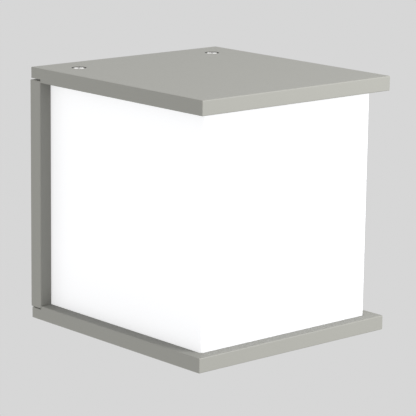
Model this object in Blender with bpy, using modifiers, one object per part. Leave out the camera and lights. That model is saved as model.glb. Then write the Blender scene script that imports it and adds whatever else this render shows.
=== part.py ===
"""Cubic outdoor wall lantern: three cast plates, an opal diffuser and an E27 lampholder with its lamp.

Metres, +Z up. X points right as seen from the front, and the front faces -Y. The wall is the plane y = 0,
and the origin is the middle of the lantern on that wall.
"""

import math

import bmesh
import bpy
from mathutils import Vector

# Overall size
BODY_WIDTH = 0.167
BODY_HEIGHT = 0.175
PROJECTION = 0.176

# Cast plates
PLATE_THICKNESS = 0.010
BACK_THICKNESS = 0.011
CASTING_WALL = 0.0035
WALL_RELIEF = 0.001
EDGE_ROUND = 0.0013
REBATE_DEPTH = 0.0025
COVER_GAP = 0.0012
BASE_GAP = 0.0005
POCKET_RADIUS = 0.006
POCKET_RIM = 0.0025
POCKET_FRONT_OF_LUGS = 0.005

# Diffuser and its seals
DIFFUSER_SIDE_INSET = 0.0097
DIFFUSER_FRONT_INSET = 0.0092
DIFFUSER_WALL = 0.003
DIFFUSER_CORNER = 0.0015
DIFFUSER_GRIP = 0.0018
GASKET_THICKNESS = 0.0016
GROOVE_PLAY = 0.0006
BACK_GROOVE_DEPTH = 0.003

# Cover and bottom screws with their lugs
SCREW_SIDE_INSET = 0.0235
SCREW_SETBACK = 0.0235
SCREW_HEAD_RADIUS = 0.0046
SCREW_HEAD_LAND = 0.0003
SCREW_HEAD_SINK = 0.0003
SCREW_SHANK_RADIUS = 0.0024
SCREW_LENGTH = 0.0200
SCREW_HOLE_PLAY = 0.0003
COUNTERSINK_RADIUS = 0.0055
SEAL_RADIUS = 0.0041
SEAL_HEIGHT = 0.0014
RECESS_WIDTH = 0.0011
RECESS_SPAN = 0.0050
RECESS_DEPTH = 0.0019
LUG_WIDTH = 0.011
LUG_HEIGHT = 0.018
LUG_FRONT = 0.0055

# Wall side of the back plate
REAR_POCKET_DEPTH = 0.0055
REAR_BAND = 0.040
REAR_RIM = 0.0165
WALL_GASKET_WIDTH = 0.0044
WALL_GASKET_HEIGHT = 0.0027
WALL_GASKET_INSET = 0.0080
WALL_SLOT_SPACING = 0.090
WALL_SLOT_LENGTH = 0.012
WALL_SLOT_WIDTH = 0.0055
CABLE_HOLE_RADIUS = 0.008
CABLE_HOLE_HEIGHT = 0.042
GROMMET_BORE = 0.0035
GROMMET_FLANGE = 0.002
GROMMET_LIP = 0.0025

# Lampholder and bracket
LAMP_FROM_WALL = 0.088
BOSS_CLEARANCE = 0.0013
BOSS_RADIUS = 0.0045
BOSS_HEIGHT = 0.0095
BRACKET_END = 0.007
BRACKET_WIDTH = 0.018
BRACKET_THICKNESS = 0.0015
NIPPLE_RADIUS = 0.0049
NIPPLE_BORE = 0.0034
NIPPLE_LENGTH = 0.013
NIPPLE_ENTRY = 0.0065
NUT_RADIUS = 0.0080
NUT_HEIGHT = 0.003
HOLDER_HEIGHT = 0.042
HOLDER_BASE = 0.012
HOLDER_WALL = 0.0049
HOLDER_RIM_STEP = 0.0015
HOLDER_RIM_HEIGHT = 0.016
HOLDER_MOUTH_FLARE = 0.0024
SHELL_THICKNESS = 0.0006
SHELL_PLAY = 0.0005
CONTACT_RISE = 0.0058
CONTACT_WIDTH = 0.005
CONTACT_THICKNESS = 0.0006

# Lamp
CAP_RADIUS = 0.0131
CAP_HEIGHT = 0.0217
CAP_WALL = 0.0008
THREAD_PITCH = 0.00362
THREAD_DEPTH = 0.0006
CAP_CONTACT_RADIUS = 0.0046
CAP_CONTACT_HEIGHT = 0.0012
CAP_INSULATOR_HEIGHT = 0.003
GLOBE_RADIUS = 0.030
GLOBE_WALL = 0.0012
GLOBE_DROP = 0.0137
LAMP_LENGTH = 0.106
HOUSING_WALL = 0.002
BOARD_THICKNESS = 0.0016

# Wiring
BLOCK_HEIGHT_ON_PLATE = 0.005
BLOCK_END = 0.006
BLOCK_TALL = 0.020
BLOCK_DEPTH = 0.015
POLE_PITCH = 0.010
INSERT_RADIUS = 0.0024
INSERT_BORE = 0.0015
TERMINAL_SCREW_RADIUS = 0.0015
TERMINAL_SCREW_LENGTH = 0.0035
TERMINAL_SCREW_OFFSET = 0.0055
WIRE_RADIUS = 0.0010
EARTH_X = 0.028
EARTH_Z = -0.006
RING_TERMINAL_RADIUS = 0.0042
RING_TERMINAL_THICKNESS = 0.0008
CRIMP_RADIUS = 0.0018
CRIMP_LENGTH = 0.006

# Small screws: head radius, head height, shank radius, length
M4_HEAD_RADIUS = 0.0037
M4_HEAD_HEIGHT = 0.0024
M4_SHANK_RADIUS = 0.0018
M4_LENGTH = 0.0075
M3_HEAD_RADIUS = 0.0027
M3_HEAD_HEIGHT = 0.0018
M3_SHANK_RADIUS = 0.0013
M3_LENGTH = 0.018

# Clearances and fineness
FIT = 0.0003
MARGIN = 0.002
TURN_STEPS = 20
MERGE = 0.00001

# Levels that follow from the sizes
COVER_TOP = BODY_HEIGHT / 2
COVER_UNDER = COVER_TOP - PLATE_THICKNESS
BASE_BOTTOM = -BODY_HEIGHT / 2
BASE_TOP = BASE_BOTTOM + PLATE_THICKNESS
PLATE_REAR = -WALL_RELIEF
PLATE_FRONT = -PROJECTION
BACK_FACE = -BACK_THICKNESS
BACK_TOP = COVER_UNDER + REBATE_DEPTH - COVER_GAP
BACK_BOTTOM = BASE_TOP - REBATE_DEPTH + BASE_GAP
REBATE_FRONT = BACK_FACE - FIT
DIFFUSER_X = BODY_WIDTH / 2 - DIFFUSER_SIDE_INSET
DIFFUSER_FRONT = PLATE_FRONT + DIFFUSER_FRONT_INSET
DIFFUSER_REAR = BACK_FACE + BACK_GROOVE_DEPTH - FIT
DIFFUSER_TOP = COVER_UNDER + DIFFUSER_GRIP
DIFFUSER_BOTTOM = BASE_TOP - DIFFUSER_GRIP
GROOVE_DEPTH = DIFFUSER_GRIP + GASKET_THICKNESS + 2 * FIT
CHAMBER_X = DIFFUSER_X - DIFFUSER_WALL - GROOVE_PLAY
CHAMBER_FRONT = DIFFUSER_FRONT + DIFFUSER_WALL + GROOVE_PLAY
SCREW_X = BODY_WIDTH / 2 - SCREW_SIDE_INSET
LUG_TIP = -SCREW_SETBACK - LUG_FRONT
POCKET_X = CHAMBER_X - POCKET_RIM
POCKET_REAR = LUG_TIP - POCKET_FRONT_OF_LUGS
POCKET_FRONT = CHAMBER_FRONT + POCKET_RIM
POCKET_DEPTH = PLATE_THICKNESS - CASTING_WALL
TRAY_FLOOR = BASE_TOP - POCKET_DEPTH
SCREW_HEAD_CONE = SCREW_HEAD_RADIUS - SCREW_SHANK_RADIUS
SCREW_HOLE_RADIUS = SCREW_SHANK_RADIUS + SCREW_HOLE_PLAY
SEAL_SEAT = SCREW_HEAD_SINK + SCREW_HEAD_LAND + SCREW_HEAD_CONE + FIT
COUNTERBORE_DEPTH = SEAL_SEAT + SEAL_HEIGHT + FIT
SCREW_HOLE_DEPTH = SCREW_LENGTH - PLATE_THICKNESS + 2 * MARGIN
LAMP_Y = -LAMP_FROM_WALL
BRACKET_Z = TRAY_FLOOR + BOSS_HEIGHT + FIT
HOLDER_Z = BRACKET_Z + BRACKET_THICKNESS + FIT
HOLDER_FLOOR = HOLDER_Z + HOLDER_BASE
NIPPLE_Z = HOLDER_Z + NIPPLE_ENTRY - FIT - NIPPLE_LENGTH
SHELL_INNER = CAP_RADIUS + SHELL_PLAY
SHELL_OUTER = SHELL_INNER + SHELL_THICKNESS + THREAD_DEPTH
HOLDER_WELL = SHELL_OUTER + FIT
HOLDER_BASE_RADIUS = HOLDER_WELL + HOLDER_WALL
HOLDER_RIM_RADIUS = HOLDER_BASE_RADIUS + HOLDER_RIM_STEP
BOSS_X = HOLDER_BASE_RADIUS + M4_HEAD_RADIUS + BOSS_CLEARANCE
BRACKET_LENGTH = 2 * (BOSS_X + BRACKET_END)
LAMP_Z = HOLDER_FLOOR + CONTACT_RISE + CONTACT_THICKNESS + FIT
CAP_INSULATOR_Z = LAMP_Z + CAP_CONTACT_HEIGHT + FIT
CAP_Z = CAP_INSULATOR_Z + CAP_INSULATOR_HEIGHT + FIT
CAP_TOP = CAP_Z + CAP_HEIGHT
GLOBE_Z = LAMP_Z + LAMP_LENGTH - GLOBE_RADIUS
GLOBE_BASE_RADIUS = math.sqrt(GLOBE_RADIUS**2 - GLOBE_DROP**2)
GLOBE_BASE_Z = GLOBE_Z - GLOBE_DROP
HOUSING_TOP = GLOBE_BASE_Z - FIT
BLOCK_LENGTH = 2 * (POLE_PITCH + BLOCK_END)
BLOCK_REAR = BACK_FACE - FIT
BLOCK_FRONT = BLOCK_REAR - BLOCK_DEPTH
POLE_Y = BLOCK_REAR - BLOCK_DEPTH / 2
BLOCK_BOTTOM = BLOCK_HEIGHT_ON_PLATE - BLOCK_TALL / 2
POLES = {"line": -POLE_PITCH, "neutral": 0.0, "earth": POLE_PITCH}
SIDES = {"left": -1, "right": 1}

# Turned pieces and screws are made along local +Z and then turned to face one of these ways.
FACING_UP = (0.0, 0.0, 0.0)
FACING_DOWN = (math.pi, 0.0, 0.0)
FACING_FRONT = (math.pi / 2, 0.0, 0.0)


# ---------------------------------------------------------------- materials


def material(name, colour, roughness, metallic=0.0):
    """The Principled material of this name, made the first time that it is asked for."""
    found = bpy.data.materials.get(name)
    if found:
        return found
    made = bpy.data.materials.new(name)
    made.use_nodes = True
    shader = made.node_tree.nodes["Principled BSDF"]
    shader.inputs["Base Color"].default_value = (*colour, 1.0)
    shader.inputs["Roughness"].default_value = roughness
    shader.inputs["Metallic"].default_value = metallic
    made.diffuse_color = (*colour, 1.0)
    return made


def painted_aluminium():
    return material("painted_aluminium", (0.40, 0.41, 0.37), 0.5)


def opal_plastic():
    return material("opal_plastic", (0.95, 0.95, 0.94), 0.35)


def stainless_steel():
    return material("stainless_steel", (0.62, 0.61, 0.58), 0.3, 1.0)


def zinc_plated_steel():
    return material("zinc_plated_steel", (0.55, 0.56, 0.57), 0.4, 1.0)


def brass():
    return material("brass", (0.75, 0.58, 0.28), 0.3, 1.0)


def tinned_copper():
    return material("tinned_copper", (0.66, 0.64, 0.60), 0.35, 1.0)


def nickel_plate():
    return material("nickel_plate", (0.70, 0.69, 0.66), 0.3, 1.0)


def seal_rubber():
    return material("seal_rubber", (0.03, 0.03, 0.03), 0.8)


def seal_silicone():
    return material("seal_silicone", (0.60, 0.60, 0.58), 0.7)


def holder_plastic():
    return material("holder_plastic", (0.85, 0.84, 0.80), 0.35)


def lamp_plastic():
    return material("lamp_plastic", (0.88, 0.88, 0.87), 0.4)


def globe_plastic():
    return material("globe_plastic", (0.93, 0.93, 0.92), 0.3)


def insulator_black():
    return material("insulator_black", (0.02, 0.02, 0.02), 0.3)


def board_white():
    return material("board_white", (0.82, 0.82, 0.80), 0.5)


def block_plastic():
    return material("block_plastic", (0.80, 0.79, 0.74), 0.45)


def wire_brown():
    return material("wire_brown", (0.14, 0.06, 0.025), 0.45)


def wire_blue():
    return material("wire_blue", (0.03, 0.12, 0.42), 0.45)


def wire_green():
    return material("wire_green", (0.10, 0.36, 0.08), 0.45)


# ---------------------------------------------------------------- modelling helpers


def collection(name):
    made = bpy.data.collections.new(name)
    bpy.context.scene.collection.children.link(made)
    return made


def clear_scene():
    for old in list(bpy.data.objects):
        bpy.data.objects.remove(old, do_unlink=True)


def place(name, mesh, location, rotation, look):
    """An object in the lantern's collection, or a hidden cutter if it has no look."""
    obj = bpy.data.objects.new(name, mesh)
    obj.location = location
    obj.rotation_euler = rotation
    if look:
        mesh.materials.append(look)
        lantern.objects.link(obj)
        return obj
    obj.hide_render = True
    obj.display_type = "WIRE"
    cutters.objects.link(obj)
    return obj


def shade_round(mesh):
    mesh.shade_smooth()
    mesh.set_sharp_from_angle(angle=math.radians(35))


def box(name, low, high, look=None, radius=0.0, along=None, keep=None):
    """A box between two corners. radius rounds its edges along one axis, and keep picks some of those."""
    low, high = Vector(low), Vector(high)
    size = high - low
    form = bmesh.new()
    bmesh.ops.create_cube(form, size=1.0)
    bmesh.ops.scale(form, vec=size, verts=form.verts)
    if radius:
        edges = [edge for edge in form.edges if runs_along(edge, along) and (not keep or keep(edge))]
        bmesh.ops.bevel(form, geom=edges, offset=radius, segments=5, profile=0.5, affect="EDGES")
    mesh = bpy.data.meshes.new(name)
    form.to_mesh(mesh)
    form.free()
    return place(name, mesh, (low + high) / 2, FACING_UP, look)


def runs_along(edge, axis):
    step = edge.verts[1].co - edge.verts[0].co
    return abs(step[axis]) > MERGE and abs(abs(step[axis]) - step.length) < MERGE


def cylinder(name, radius, height, location, facing=FACING_UP, look=None, sides=TURN_STEPS):
    """A cylinder that starts at location and runs along the facing."""
    form = bmesh.new()
    bmesh.ops.create_cone(
        form, cap_ends=True, segments=sides, radius1=radius, radius2=radius, depth=height
    )
    bmesh.ops.translate(form, vec=(0.0, 0.0, height / 2), verts=form.verts)
    mesh = bpy.data.meshes.new(name)
    form.to_mesh(mesh)
    form.free()
    shade_round(mesh)
    return place(name, mesh, location, facing, look)


def turned(name, profile, location, facing=FACING_UP, look=None, ring=False, steps=TURN_STEPS):
    """Turns (radius, height) points about local Z. They run down the outer side; a ring's profile closes."""
    mesh = bpy.data.meshes.new(name)
    points = [(radius, 0.0, height) for radius, height in profile]
    links = [(i, i + 1) for i in range(len(points) - 1)]
    if ring:
        links.append((len(points) - 1, 0))
    mesh.from_pydata(points, links, [])
    obj = place(name, mesh, location, facing, look)
    turn = obj.modifiers.new("turn", "SCREW")
    turn.steps = steps
    turn.render_steps = steps
    turn.use_merge_vertices = True
    turn.merge_threshold = MERGE
    turn.use_smooth_shade = True
    return obj


def combine(target, other, operation):
    other.hide_render = True
    change = target.modifiers.new(other.name, "BOOLEAN")
    change.operation = operation
    change.solver = "EXACT"
    change.object = other


def cut(target, *tools):
    for tool in tools:
        combine(target, tool, "DIFFERENCE")


def join(target, *additions):
    for addition in additions:
        combine(target, addition, "UNION")


def round_edges(obj, width, segments=3):
    rounding = obj.modifiers.new("rounding", "BEVEL")
    rounding.width = width
    rounding.segments = segments
    rounding.limit_method = "ANGLE"
    rounding.use_clamp_overlap = True


def u_wall(name, half_width, front, rear, low, high, thickness, corner, look=None):
    """Three upright walls, left, front and right, open behind, with their outer faces at the sizes given."""
    walls = box(
        name,
        (-half_width, front, low),
        (half_width, rear, high),
        look,
        radius=corner,
        along=2,
        keep=lambda edge: edge.verts[0].co.y < 0,
    )
    room = box(
        f"{name}_room",
        (thickness - half_width, front + thickness, low - MARGIN),
        (half_width - thickness, rear + MARGIN, high + MARGIN),
        radius=FIT,
        along=2,
        keep=lambda edge: edge.verts[0].co.y < 0,
    )
    cut(walls, room)
    return walls


def strip(name, path, width, thickness, location, look):
    """A bent flat strip: the path lies in local X and Z, and the width runs along Y."""
    form = bmesh.new()
    rows = [[form.verts.new((x, y, z)) for y in (-width / 2, width / 2)] for x, z in path]
    for here, there in zip(rows, rows[1:]):
        form.faces.new((here[0], there[0], there[1], here[1]))
    form.normal_update()
    mesh = bpy.data.meshes.new(name)
    form.to_mesh(mesh)
    form.free()
    obj = place(name, mesh, location, FACING_UP, look)
    wall = obj.modifiers.new("wall", "SOLIDIFY")
    wall.thickness = thickness
    wall.offset = 0.0
    wall.use_even_offset = True
    return obj


def smooth_route(points, pieces=4):
    """Points along a Catmull-Rom curve through the route's own points."""
    points = [Vector(point) for point in points]
    ends = [2 * points[0] - points[1]] + points + [2 * points[-1] - points[-2]]
    route = []
    for a, b, c, d in zip(ends, ends[1:], ends[2:], ends[3:]):
        for step in range(pieces):
            t = step / pieces
            squared = (2 * a - 5 * b + 4 * c - d) * t**2
            cubed = (3 * b - a - 3 * c + d) * t**3
            route.append(0.5 * (2 * b + (c - a) * t + squared + cubed))
    return route + [points[-1]]


def wire(name, points, look):
    route = smooth_route(points)
    data = bpy.data.curves.new(name, "CURVE")
    data.dimensions = "3D"
    data.bevel_depth = WIRE_RADIUS
    data.bevel_resolution = 2
    data.use_fill_caps = True
    spline = data.splines.new("POLY")
    spline.points.add(len(route) - 1)
    for point, place_at in zip(spline.points, route):
        point.co = (*place_at, 1.0)
    data.materials.append(look)
    obj = bpy.data.objects.new(name, data)
    lantern.objects.link(obj)
    return obj


# ---------------------------------------------------------------- screws


def cross_recess(screw, top, span, width, depth):
    """Cuts a cross into the head of a screw whose top is at local height top."""
    for turn, name in enumerate(("across", "along")):
        arm = box(f"{screw.name}_{name}", (-span / 2, -width / 2, -depth), (span / 2, width / 2, MARGIN))
        arm.parent = screw
        arm.location.z += top
        arm.rotation_euler.z = turn * math.pi / 2
        cut(screw, arm)


def countersunk_screw(name, x, height, facing):
    """An M5 countersunk screw whose head lies just under the face at this height."""
    cone_end = -SCREW_HEAD_LAND - SCREW_HEAD_CONE
    tip = -SCREW_LENGTH
    chamfer = SCREW_SHANK_RADIUS / 3
    profile = [
        (0.0, 0.0),
        (SCREW_HEAD_RADIUS - SCREW_HEAD_LAND, 0.0),
        (SCREW_HEAD_RADIUS, -SCREW_HEAD_LAND),
        (SCREW_SHANK_RADIUS, cone_end),
        (SCREW_SHANK_RADIUS, tip + chamfer),
        (SCREW_SHANK_RADIUS - chamfer, tip),
        (0.0, tip),
    ]
    inward = -SCREW_HEAD_SINK if facing == FACING_UP else SCREW_HEAD_SINK
    spot = (x, -SCREW_SETBACK, height + inward)
    screw = turned(name, profile, spot, facing, stainless_steel())
    cross_recess(screw, 0.0, RECESS_SPAN, RECESS_WIDTH, RECESS_DEPTH)
    return screw


def screw_opening(name, x, height, facing):
    """The cutter of a countersunk hole with a counterbore for the seal under the screw's head."""
    bore = SEAL_RADIUS + FIT
    profile = [
        (0.0, MARGIN),
        (COUNTERSINK_RADIUS, MARGIN),
        (COUNTERSINK_RADIUS, 0.0),
        (bore, bore - COUNTERSINK_RADIUS),
        (bore, -COUNTERBORE_DEPTH),
        (SCREW_HOLE_RADIUS, -COUNTERBORE_DEPTH),
        (SCREW_HOLE_RADIUS, -PLATE_THICKNESS - MARGIN),
        (0.0, -PLATE_THICKNESS - MARGIN),
    ]
    return turned(name, profile, (x, -SCREW_SETBACK, height), facing)


def screw_seal(name, x):
    inner = SCREW_SHANK_RADIUS + FIT / 2
    profile = [
        (SEAL_RADIUS - FIT, 0.0),
        (SEAL_RADIUS, -SEAL_HEIGHT / 2),
        (SEAL_RADIUS - FIT, -SEAL_HEIGHT),
        (inner + FIT, -SEAL_HEIGHT),
        (inner, -SEAL_HEIGHT / 2),
        (inner + FIT, 0.0),
    ]
    spot = (x, -SCREW_SETBACK, COVER_TOP - SEAL_SEAT)
    return turned(name, profile, spot, look=seal_rubber(), ring=True)


def pan_screw(name, spot, facing, head_radius, head_height, shank_radius, length, look):
    """A pan-head screw whose head rests with its underside at the spot."""
    edge = head_height / 3
    profile = [
        (0.0, head_height),
        (head_radius - edge, head_height),
        (head_radius, head_height - edge),
        (head_radius, 0.0),
        (shank_radius, 0.0),
        (shank_radius, -length),
        (0.0, -length),
    ]
    screw = turned(name, profile, spot, facing, look, steps=TURN_STEPS // 2)
    cross_recess(screw, head_height, 1.3 * head_radius, 0.3 * head_radius, 0.6 * head_height)
    return screw


# ---------------------------------------------------------------- cast plates


def plate(name, low, high, outside, inside, facing):
    """A cast plate between two levels. Its inner side has a rebate, a seal groove, a pocket and screw openings."""
    inward = 1 if inside > outside else -1
    body = box(
        name,
        (-BODY_WIDTH / 2, PLATE_FRONT, low),
        (BODY_WIDTH / 2, PLATE_REAR, high),
        painted_aluminium(),
    )
    round_edges(body, EDGE_ROUND)
    level = inside - inward * REBATE_DEPTH
    rebate = box(
        f"{name}_rebate",
        (-BODY_WIDTH / 2 - MARGIN, REBATE_FRONT, min(level, inside + inward * MARGIN)),
        (BODY_WIDTH / 2 + MARGIN, MARGIN, max(level, inside + inward * MARGIN)),
    )
    floor = inside - inward * GROOVE_DEPTH
    groove = u_wall(
        f"{name}_groove",
        DIFFUSER_X + GROOVE_PLAY,
        DIFFUSER_FRONT - GROOVE_PLAY,
        BACK_FACE,
        min(floor, inside + inward * MARGIN),
        max(floor, inside + inward * MARGIN),
        DIFFUSER_WALL + 2 * GROOVE_PLAY,
        DIFFUSER_CORNER + GROOVE_PLAY,
    )
    floor = inside - inward * POCKET_DEPTH
    pocket = box(
        f"{name}_pocket",
        (-POCKET_X, POCKET_FRONT, min(floor, inside + inward * MARGIN)),
        (POCKET_X, POCKET_REAR, max(floor, inside + inward * MARGIN)),
        radius=POCKET_RADIUS,
        along=2,
    )
    cut(body, rebate, groove, pocket)
    for side, sign in SIDES.items():
        cut(body, screw_opening(f"{name}_opening_{side}", sign * SCREW_X, outside, facing))
    return body


def top_cover():
    return plate("top_cover", COVER_UNDER, COVER_TOP, COVER_TOP, COVER_UNDER, FACING_UP)


def bottom_plate():
    body = plate("bottom_plate", BASE_BOTTOM, BASE_TOP, BASE_BOTTOM, BASE_TOP, FACING_DOWN)
    for side, sign in SIDES.items():
        x = sign * BOSS_X
        root = TRAY_FLOOR - CASTING_WALL / 2
        boss = cylinder(f"boss_{side}", BOSS_RADIUS, BOSS_HEIGHT + CASTING_WALL / 2, (x, LAMP_Y, root))
        hole_floor = TRAY_FLOOR + BOSS_HEIGHT - M4_LENGTH
        spot = (x, LAMP_Y, hole_floor)
        hole = cylinder(f"boss_hole_{side}", M4_SHANK_RADIUS + FIT, M4_LENGTH + MARGIN, spot)
        join(body, boss)
        cut(body, hole)
    return body


def gasket(name, low):
    """The soft strip in a plate's groove, between the groove's floor and the diffuser's edge."""
    play = GROOVE_PLAY - FIT
    return u_wall(
        name,
        DIFFUSER_X + play,
        DIFFUSER_FRONT - play,
        REBATE_FRONT - FIT,
        low,
        low + GASKET_THICKNESS,
        DIFFUSER_WALL + 2 * play,
        DIFFUSER_CORNER + play,
        seal_silicone(),
    )


def cover_gasket():
    return gasket("cover_gasket", DIFFUSER_TOP + FIT)


def bottom_gasket():
    return gasket("bottom_gasket", DIFFUSER_BOTTOM - FIT - GASKET_THICKNESS)


def diffuser():
    return u_wall(
        "diffuser",
        DIFFUSER_X,
        DIFFUSER_FRONT,
        DIFFUSER_REAR,
        DIFFUSER_BOTTOM,
        DIFFUSER_TOP,
        DIFFUSER_WALL,
        DIFFUSER_CORNER,
        opal_plastic(),
    )


# ---------------------------------------------------------------- back plate


def lug(name, x, low):
    """A screw lug on the back plate's front, with its two front corners rounded."""
    return box(
        name,
        (x - LUG_WIDTH / 2, LUG_TIP, low),
        (x + LUG_WIDTH / 2, BACK_FACE + CASTING_WALL, low + LUG_HEIGHT),
        radius=LUG_WIDTH / 2 - FIT,
        along=2,
        keep=lambda edge: edge.verts[0].co.y < 0,
    )


def add_lugs(body):
    """Four lugs, each with a blind hole from the end that faces its plate."""
    top = COVER_UNDER - FIT
    bottom = BASE_TOP + FIT
    for side, sign in SIDES.items():
        x = sign * SCREW_X
        join(body, lug(f"upper_lug_{side}", x, top - LUG_HEIGHT), lug(f"lower_lug_{side}", x, bottom))
        upper = (x, -SCREW_SETBACK, top + MARGIN)
        lower = (x, -SCREW_SETBACK, bottom - MARGIN)
        depth = SCREW_HOLE_DEPTH + MARGIN
        cut(
            body,
            cylinder(f"upper_thread_{side}", SCREW_HOLE_RADIUS, depth, upper, FACING_DOWN),
            cylinder(f"lower_thread_{side}", SCREW_HOLE_RADIUS, depth, lower, FACING_UP),
        )


def cut_diffuser_grooves(body):
    """Upright grooves that hold the diffuser's two rear edges."""
    middle = DIFFUSER_X - DIFFUSER_WALL / 2
    half = DIFFUSER_WALL / 2 + GROOVE_PLAY
    for side, sign in SIDES.items():
        x = sign * middle
        groove = box(
            f"back_groove_{side}",
            (x - half, BACK_FACE - MARGIN, BACK_BOTTOM - MARGIN),
            (x + half, BACK_FACE + BACK_GROOVE_DEPTH, BACK_TOP + MARGIN),
        )
        cut(body, groove)


def cut_wall_side(body):
    """Two shallow pockets, the seal groove and the two fixing slots of the side against the wall."""
    rim_x = BODY_WIDTH / 2 - REAR_RIM
    for name, low, high in (
        ("upper_pocket", REAR_BAND / 2, BACK_TOP - REAR_RIM),
        ("lower_pocket", BACK_BOTTOM + REAR_RIM, -REAR_BAND / 2),
    ):
        pocket = box(
            name,
            (-rim_x, -REAR_POCKET_DEPTH, low),
            (rim_x, MARGIN, high),
            radius=POCKET_RADIUS,
            along=1,
        )
        cut(body, pocket)
    cut(body, frame_ring("wall_gasket_groove", FIT, WALL_GASKET_HEIGHT + FIT, MARGIN))
    for side, sign in SIDES.items():
        x = sign * WALL_SLOT_SPACING / 2
        slot = box(
            f"wall_slot_{side}",
            (x - WALL_SLOT_LENGTH / 2, BACK_FACE - MARGIN, -WALL_SLOT_WIDTH / 2),
            (x + WALL_SLOT_LENGTH / 2, MARGIN, WALL_SLOT_WIDTH / 2),
            radius=WALL_SLOT_WIDTH / 2 - FIT,
            along=1,
        )
        cut(body, slot)


def frame_ring(name, play, depth, rear, look=None):
    """A rectangular ring round the back plate's rear face, wider by the play on each side."""
    outer = WALL_GASKET_INSET - play
    inner = WALL_GASKET_INSET + WALL_GASKET_WIDTH + play
    ring = box(
        name,
        (-BODY_WIDTH / 2 + outer, -depth, BACK_BOTTOM + outer),
        (BODY_WIDTH / 2 - outer, rear, BACK_TOP - outer),
        look,
    )
    hole = box(
        f"{name}_hole",
        (-BODY_WIDTH / 2 + inner, -depth - MARGIN, BACK_BOTTOM + inner),
        (BODY_WIDTH / 2 - inner, rear + MARGIN, BACK_TOP - inner),
    )
    cut(ring, hole)
    return ring


def back_plate():
    body = box(
        "back_plate",
        (-BODY_WIDTH / 2, BACK_FACE, BACK_BOTTOM),
        (BODY_WIDTH / 2, 0.0, BACK_TOP),
        painted_aluminium(),
    )
    round_edges(body, EDGE_ROUND)
    add_lugs(body)
    cut_diffuser_grooves(body)
    cut_wall_side(body)
    cut(
        body,
        cylinder("cable_hole", CABLE_HOLE_RADIUS, BACK_THICKNESS + 2 * MARGIN,
                 (0.0, MARGIN, CABLE_HOLE_HEIGHT), FACING_FRONT),
        cylinder("earth_hole", M4_SHANK_RADIUS + FIT, M4_LENGTH + MARGIN,
                 (EARTH_X, BACK_FACE + M4_LENGTH, EARTH_Z), FACING_FRONT, sides=TURN_STEPS // 2),
    )
    for side, sign in SIDES.items():
        spot = (sign * POLE_PITCH / 2, BACK_FACE + M3_LENGTH - BLOCK_DEPTH + FIT, BLOCK_HEIGHT_ON_PLATE)
        hole = cylinder(f"block_hole_{side}", M3_SHANK_RADIUS + FIT, BACK_THICKNESS, spot, FACING_FRONT,
                        sides=TURN_STEPS // 2)
        cut(body, hole)
    return body


def wall_gasket():
    return frame_ring("wall_gasket", 0.0, WALL_GASKET_HEIGHT, 0.0, seal_rubber())


def cable_grommet():
    """A bush with a flange on each side of the plate, turned about the cable hole."""
    web = BACK_THICKNESS - REAR_POCKET_DEPTH
    neck = CABLE_HOLE_RADIUS - FIT
    flange = CABLE_HOLE_RADIUS + GROMMET_LIP
    front = web / 2 + FIT
    profile = [
        (flange - FIT, front + GROMMET_FLANGE),
        (flange, front + GROMMET_FLANGE / 2),
        (flange, front),
        (neck, front),
        (neck, -front),
        (flange, -front),
        (flange, -front - GROMMET_FLANGE / 2),
        (flange - FIT, -front - GROMMET_FLANGE),
        (GROMMET_BORE, -front - GROMMET_FLANGE),
        (GROMMET_BORE, front + GROMMET_FLANGE),
    ]
    spot = (0.0, BACK_FACE + web / 2, CABLE_HOLE_HEIGHT)
    return turned("cable_grommet", profile, spot, FACING_FRONT, seal_rubber(), ring=True)


# ---------------------------------------------------------------- lampholder


def lampholder_bracket():
    low = (-BRACKET_LENGTH / 2, LAMP_Y - BRACKET_WIDTH / 2, BRACKET_Z)
    high = (BRACKET_LENGTH / 2, LAMP_Y + BRACKET_WIDTH / 2, BRACKET_Z + BRACKET_THICKNESS)
    body = box("lampholder_bracket", low, high, zinc_plated_steel(), radius=BRACKET_WIDTH / 4, along=2)
    height = BRACKET_THICKNESS + 2 * MARGIN
    cut(body, cylinder("bracket_hole", NIPPLE_RADIUS + FIT, height, (0.0, LAMP_Y, BRACKET_Z - MARGIN)))
    for side, sign in SIDES.items():
        spot = (sign * BOSS_X, LAMP_Y, BRACKET_Z - MARGIN)
        cut(body, cylinder(f"bracket_hole_{side}", M4_SHANK_RADIUS + FIT, height, spot))
    return body


def bracket_screws():
    for side, sign in SIDES.items():
        spot = (sign * BOSS_X, LAMP_Y, BRACKET_Z + BRACKET_THICKNESS + FIT)
        pan_screw(f"bracket_screw_{side}", spot, FACING_UP, M4_HEAD_RADIUS, M4_HEAD_HEIGHT,
                  M4_SHANK_RADIUS, M4_LENGTH, zinc_plated_steel())


def lampholder_nipple():
    profile = [
        (NIPPLE_RADIUS, NIPPLE_LENGTH),
        (NIPPLE_RADIUS, 0.0),
        (NIPPLE_BORE, 0.0),
        (NIPPLE_BORE, NIPPLE_LENGTH),
    ]
    return turned("lampholder_nipple", profile, (0.0, LAMP_Y, NIPPLE_Z), look=zinc_plated_steel(), ring=True)


def lampholder_nut():
    spot = (0.0, LAMP_Y, BRACKET_Z - FIT - NUT_HEIGHT)
    nut = cylinder("lampholder_nut", NUT_RADIUS, NUT_HEIGHT, spot, look=zinc_plated_steel(), sides=6)
    spot = (0.0, LAMP_Y, BRACKET_Z - FIT - NUT_HEIGHT - MARGIN)
    cut(nut, cylinder("nut_hole", NIPPLE_RADIUS + FIT, NUT_HEIGHT + 2 * MARGIN, spot))
    return nut


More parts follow.
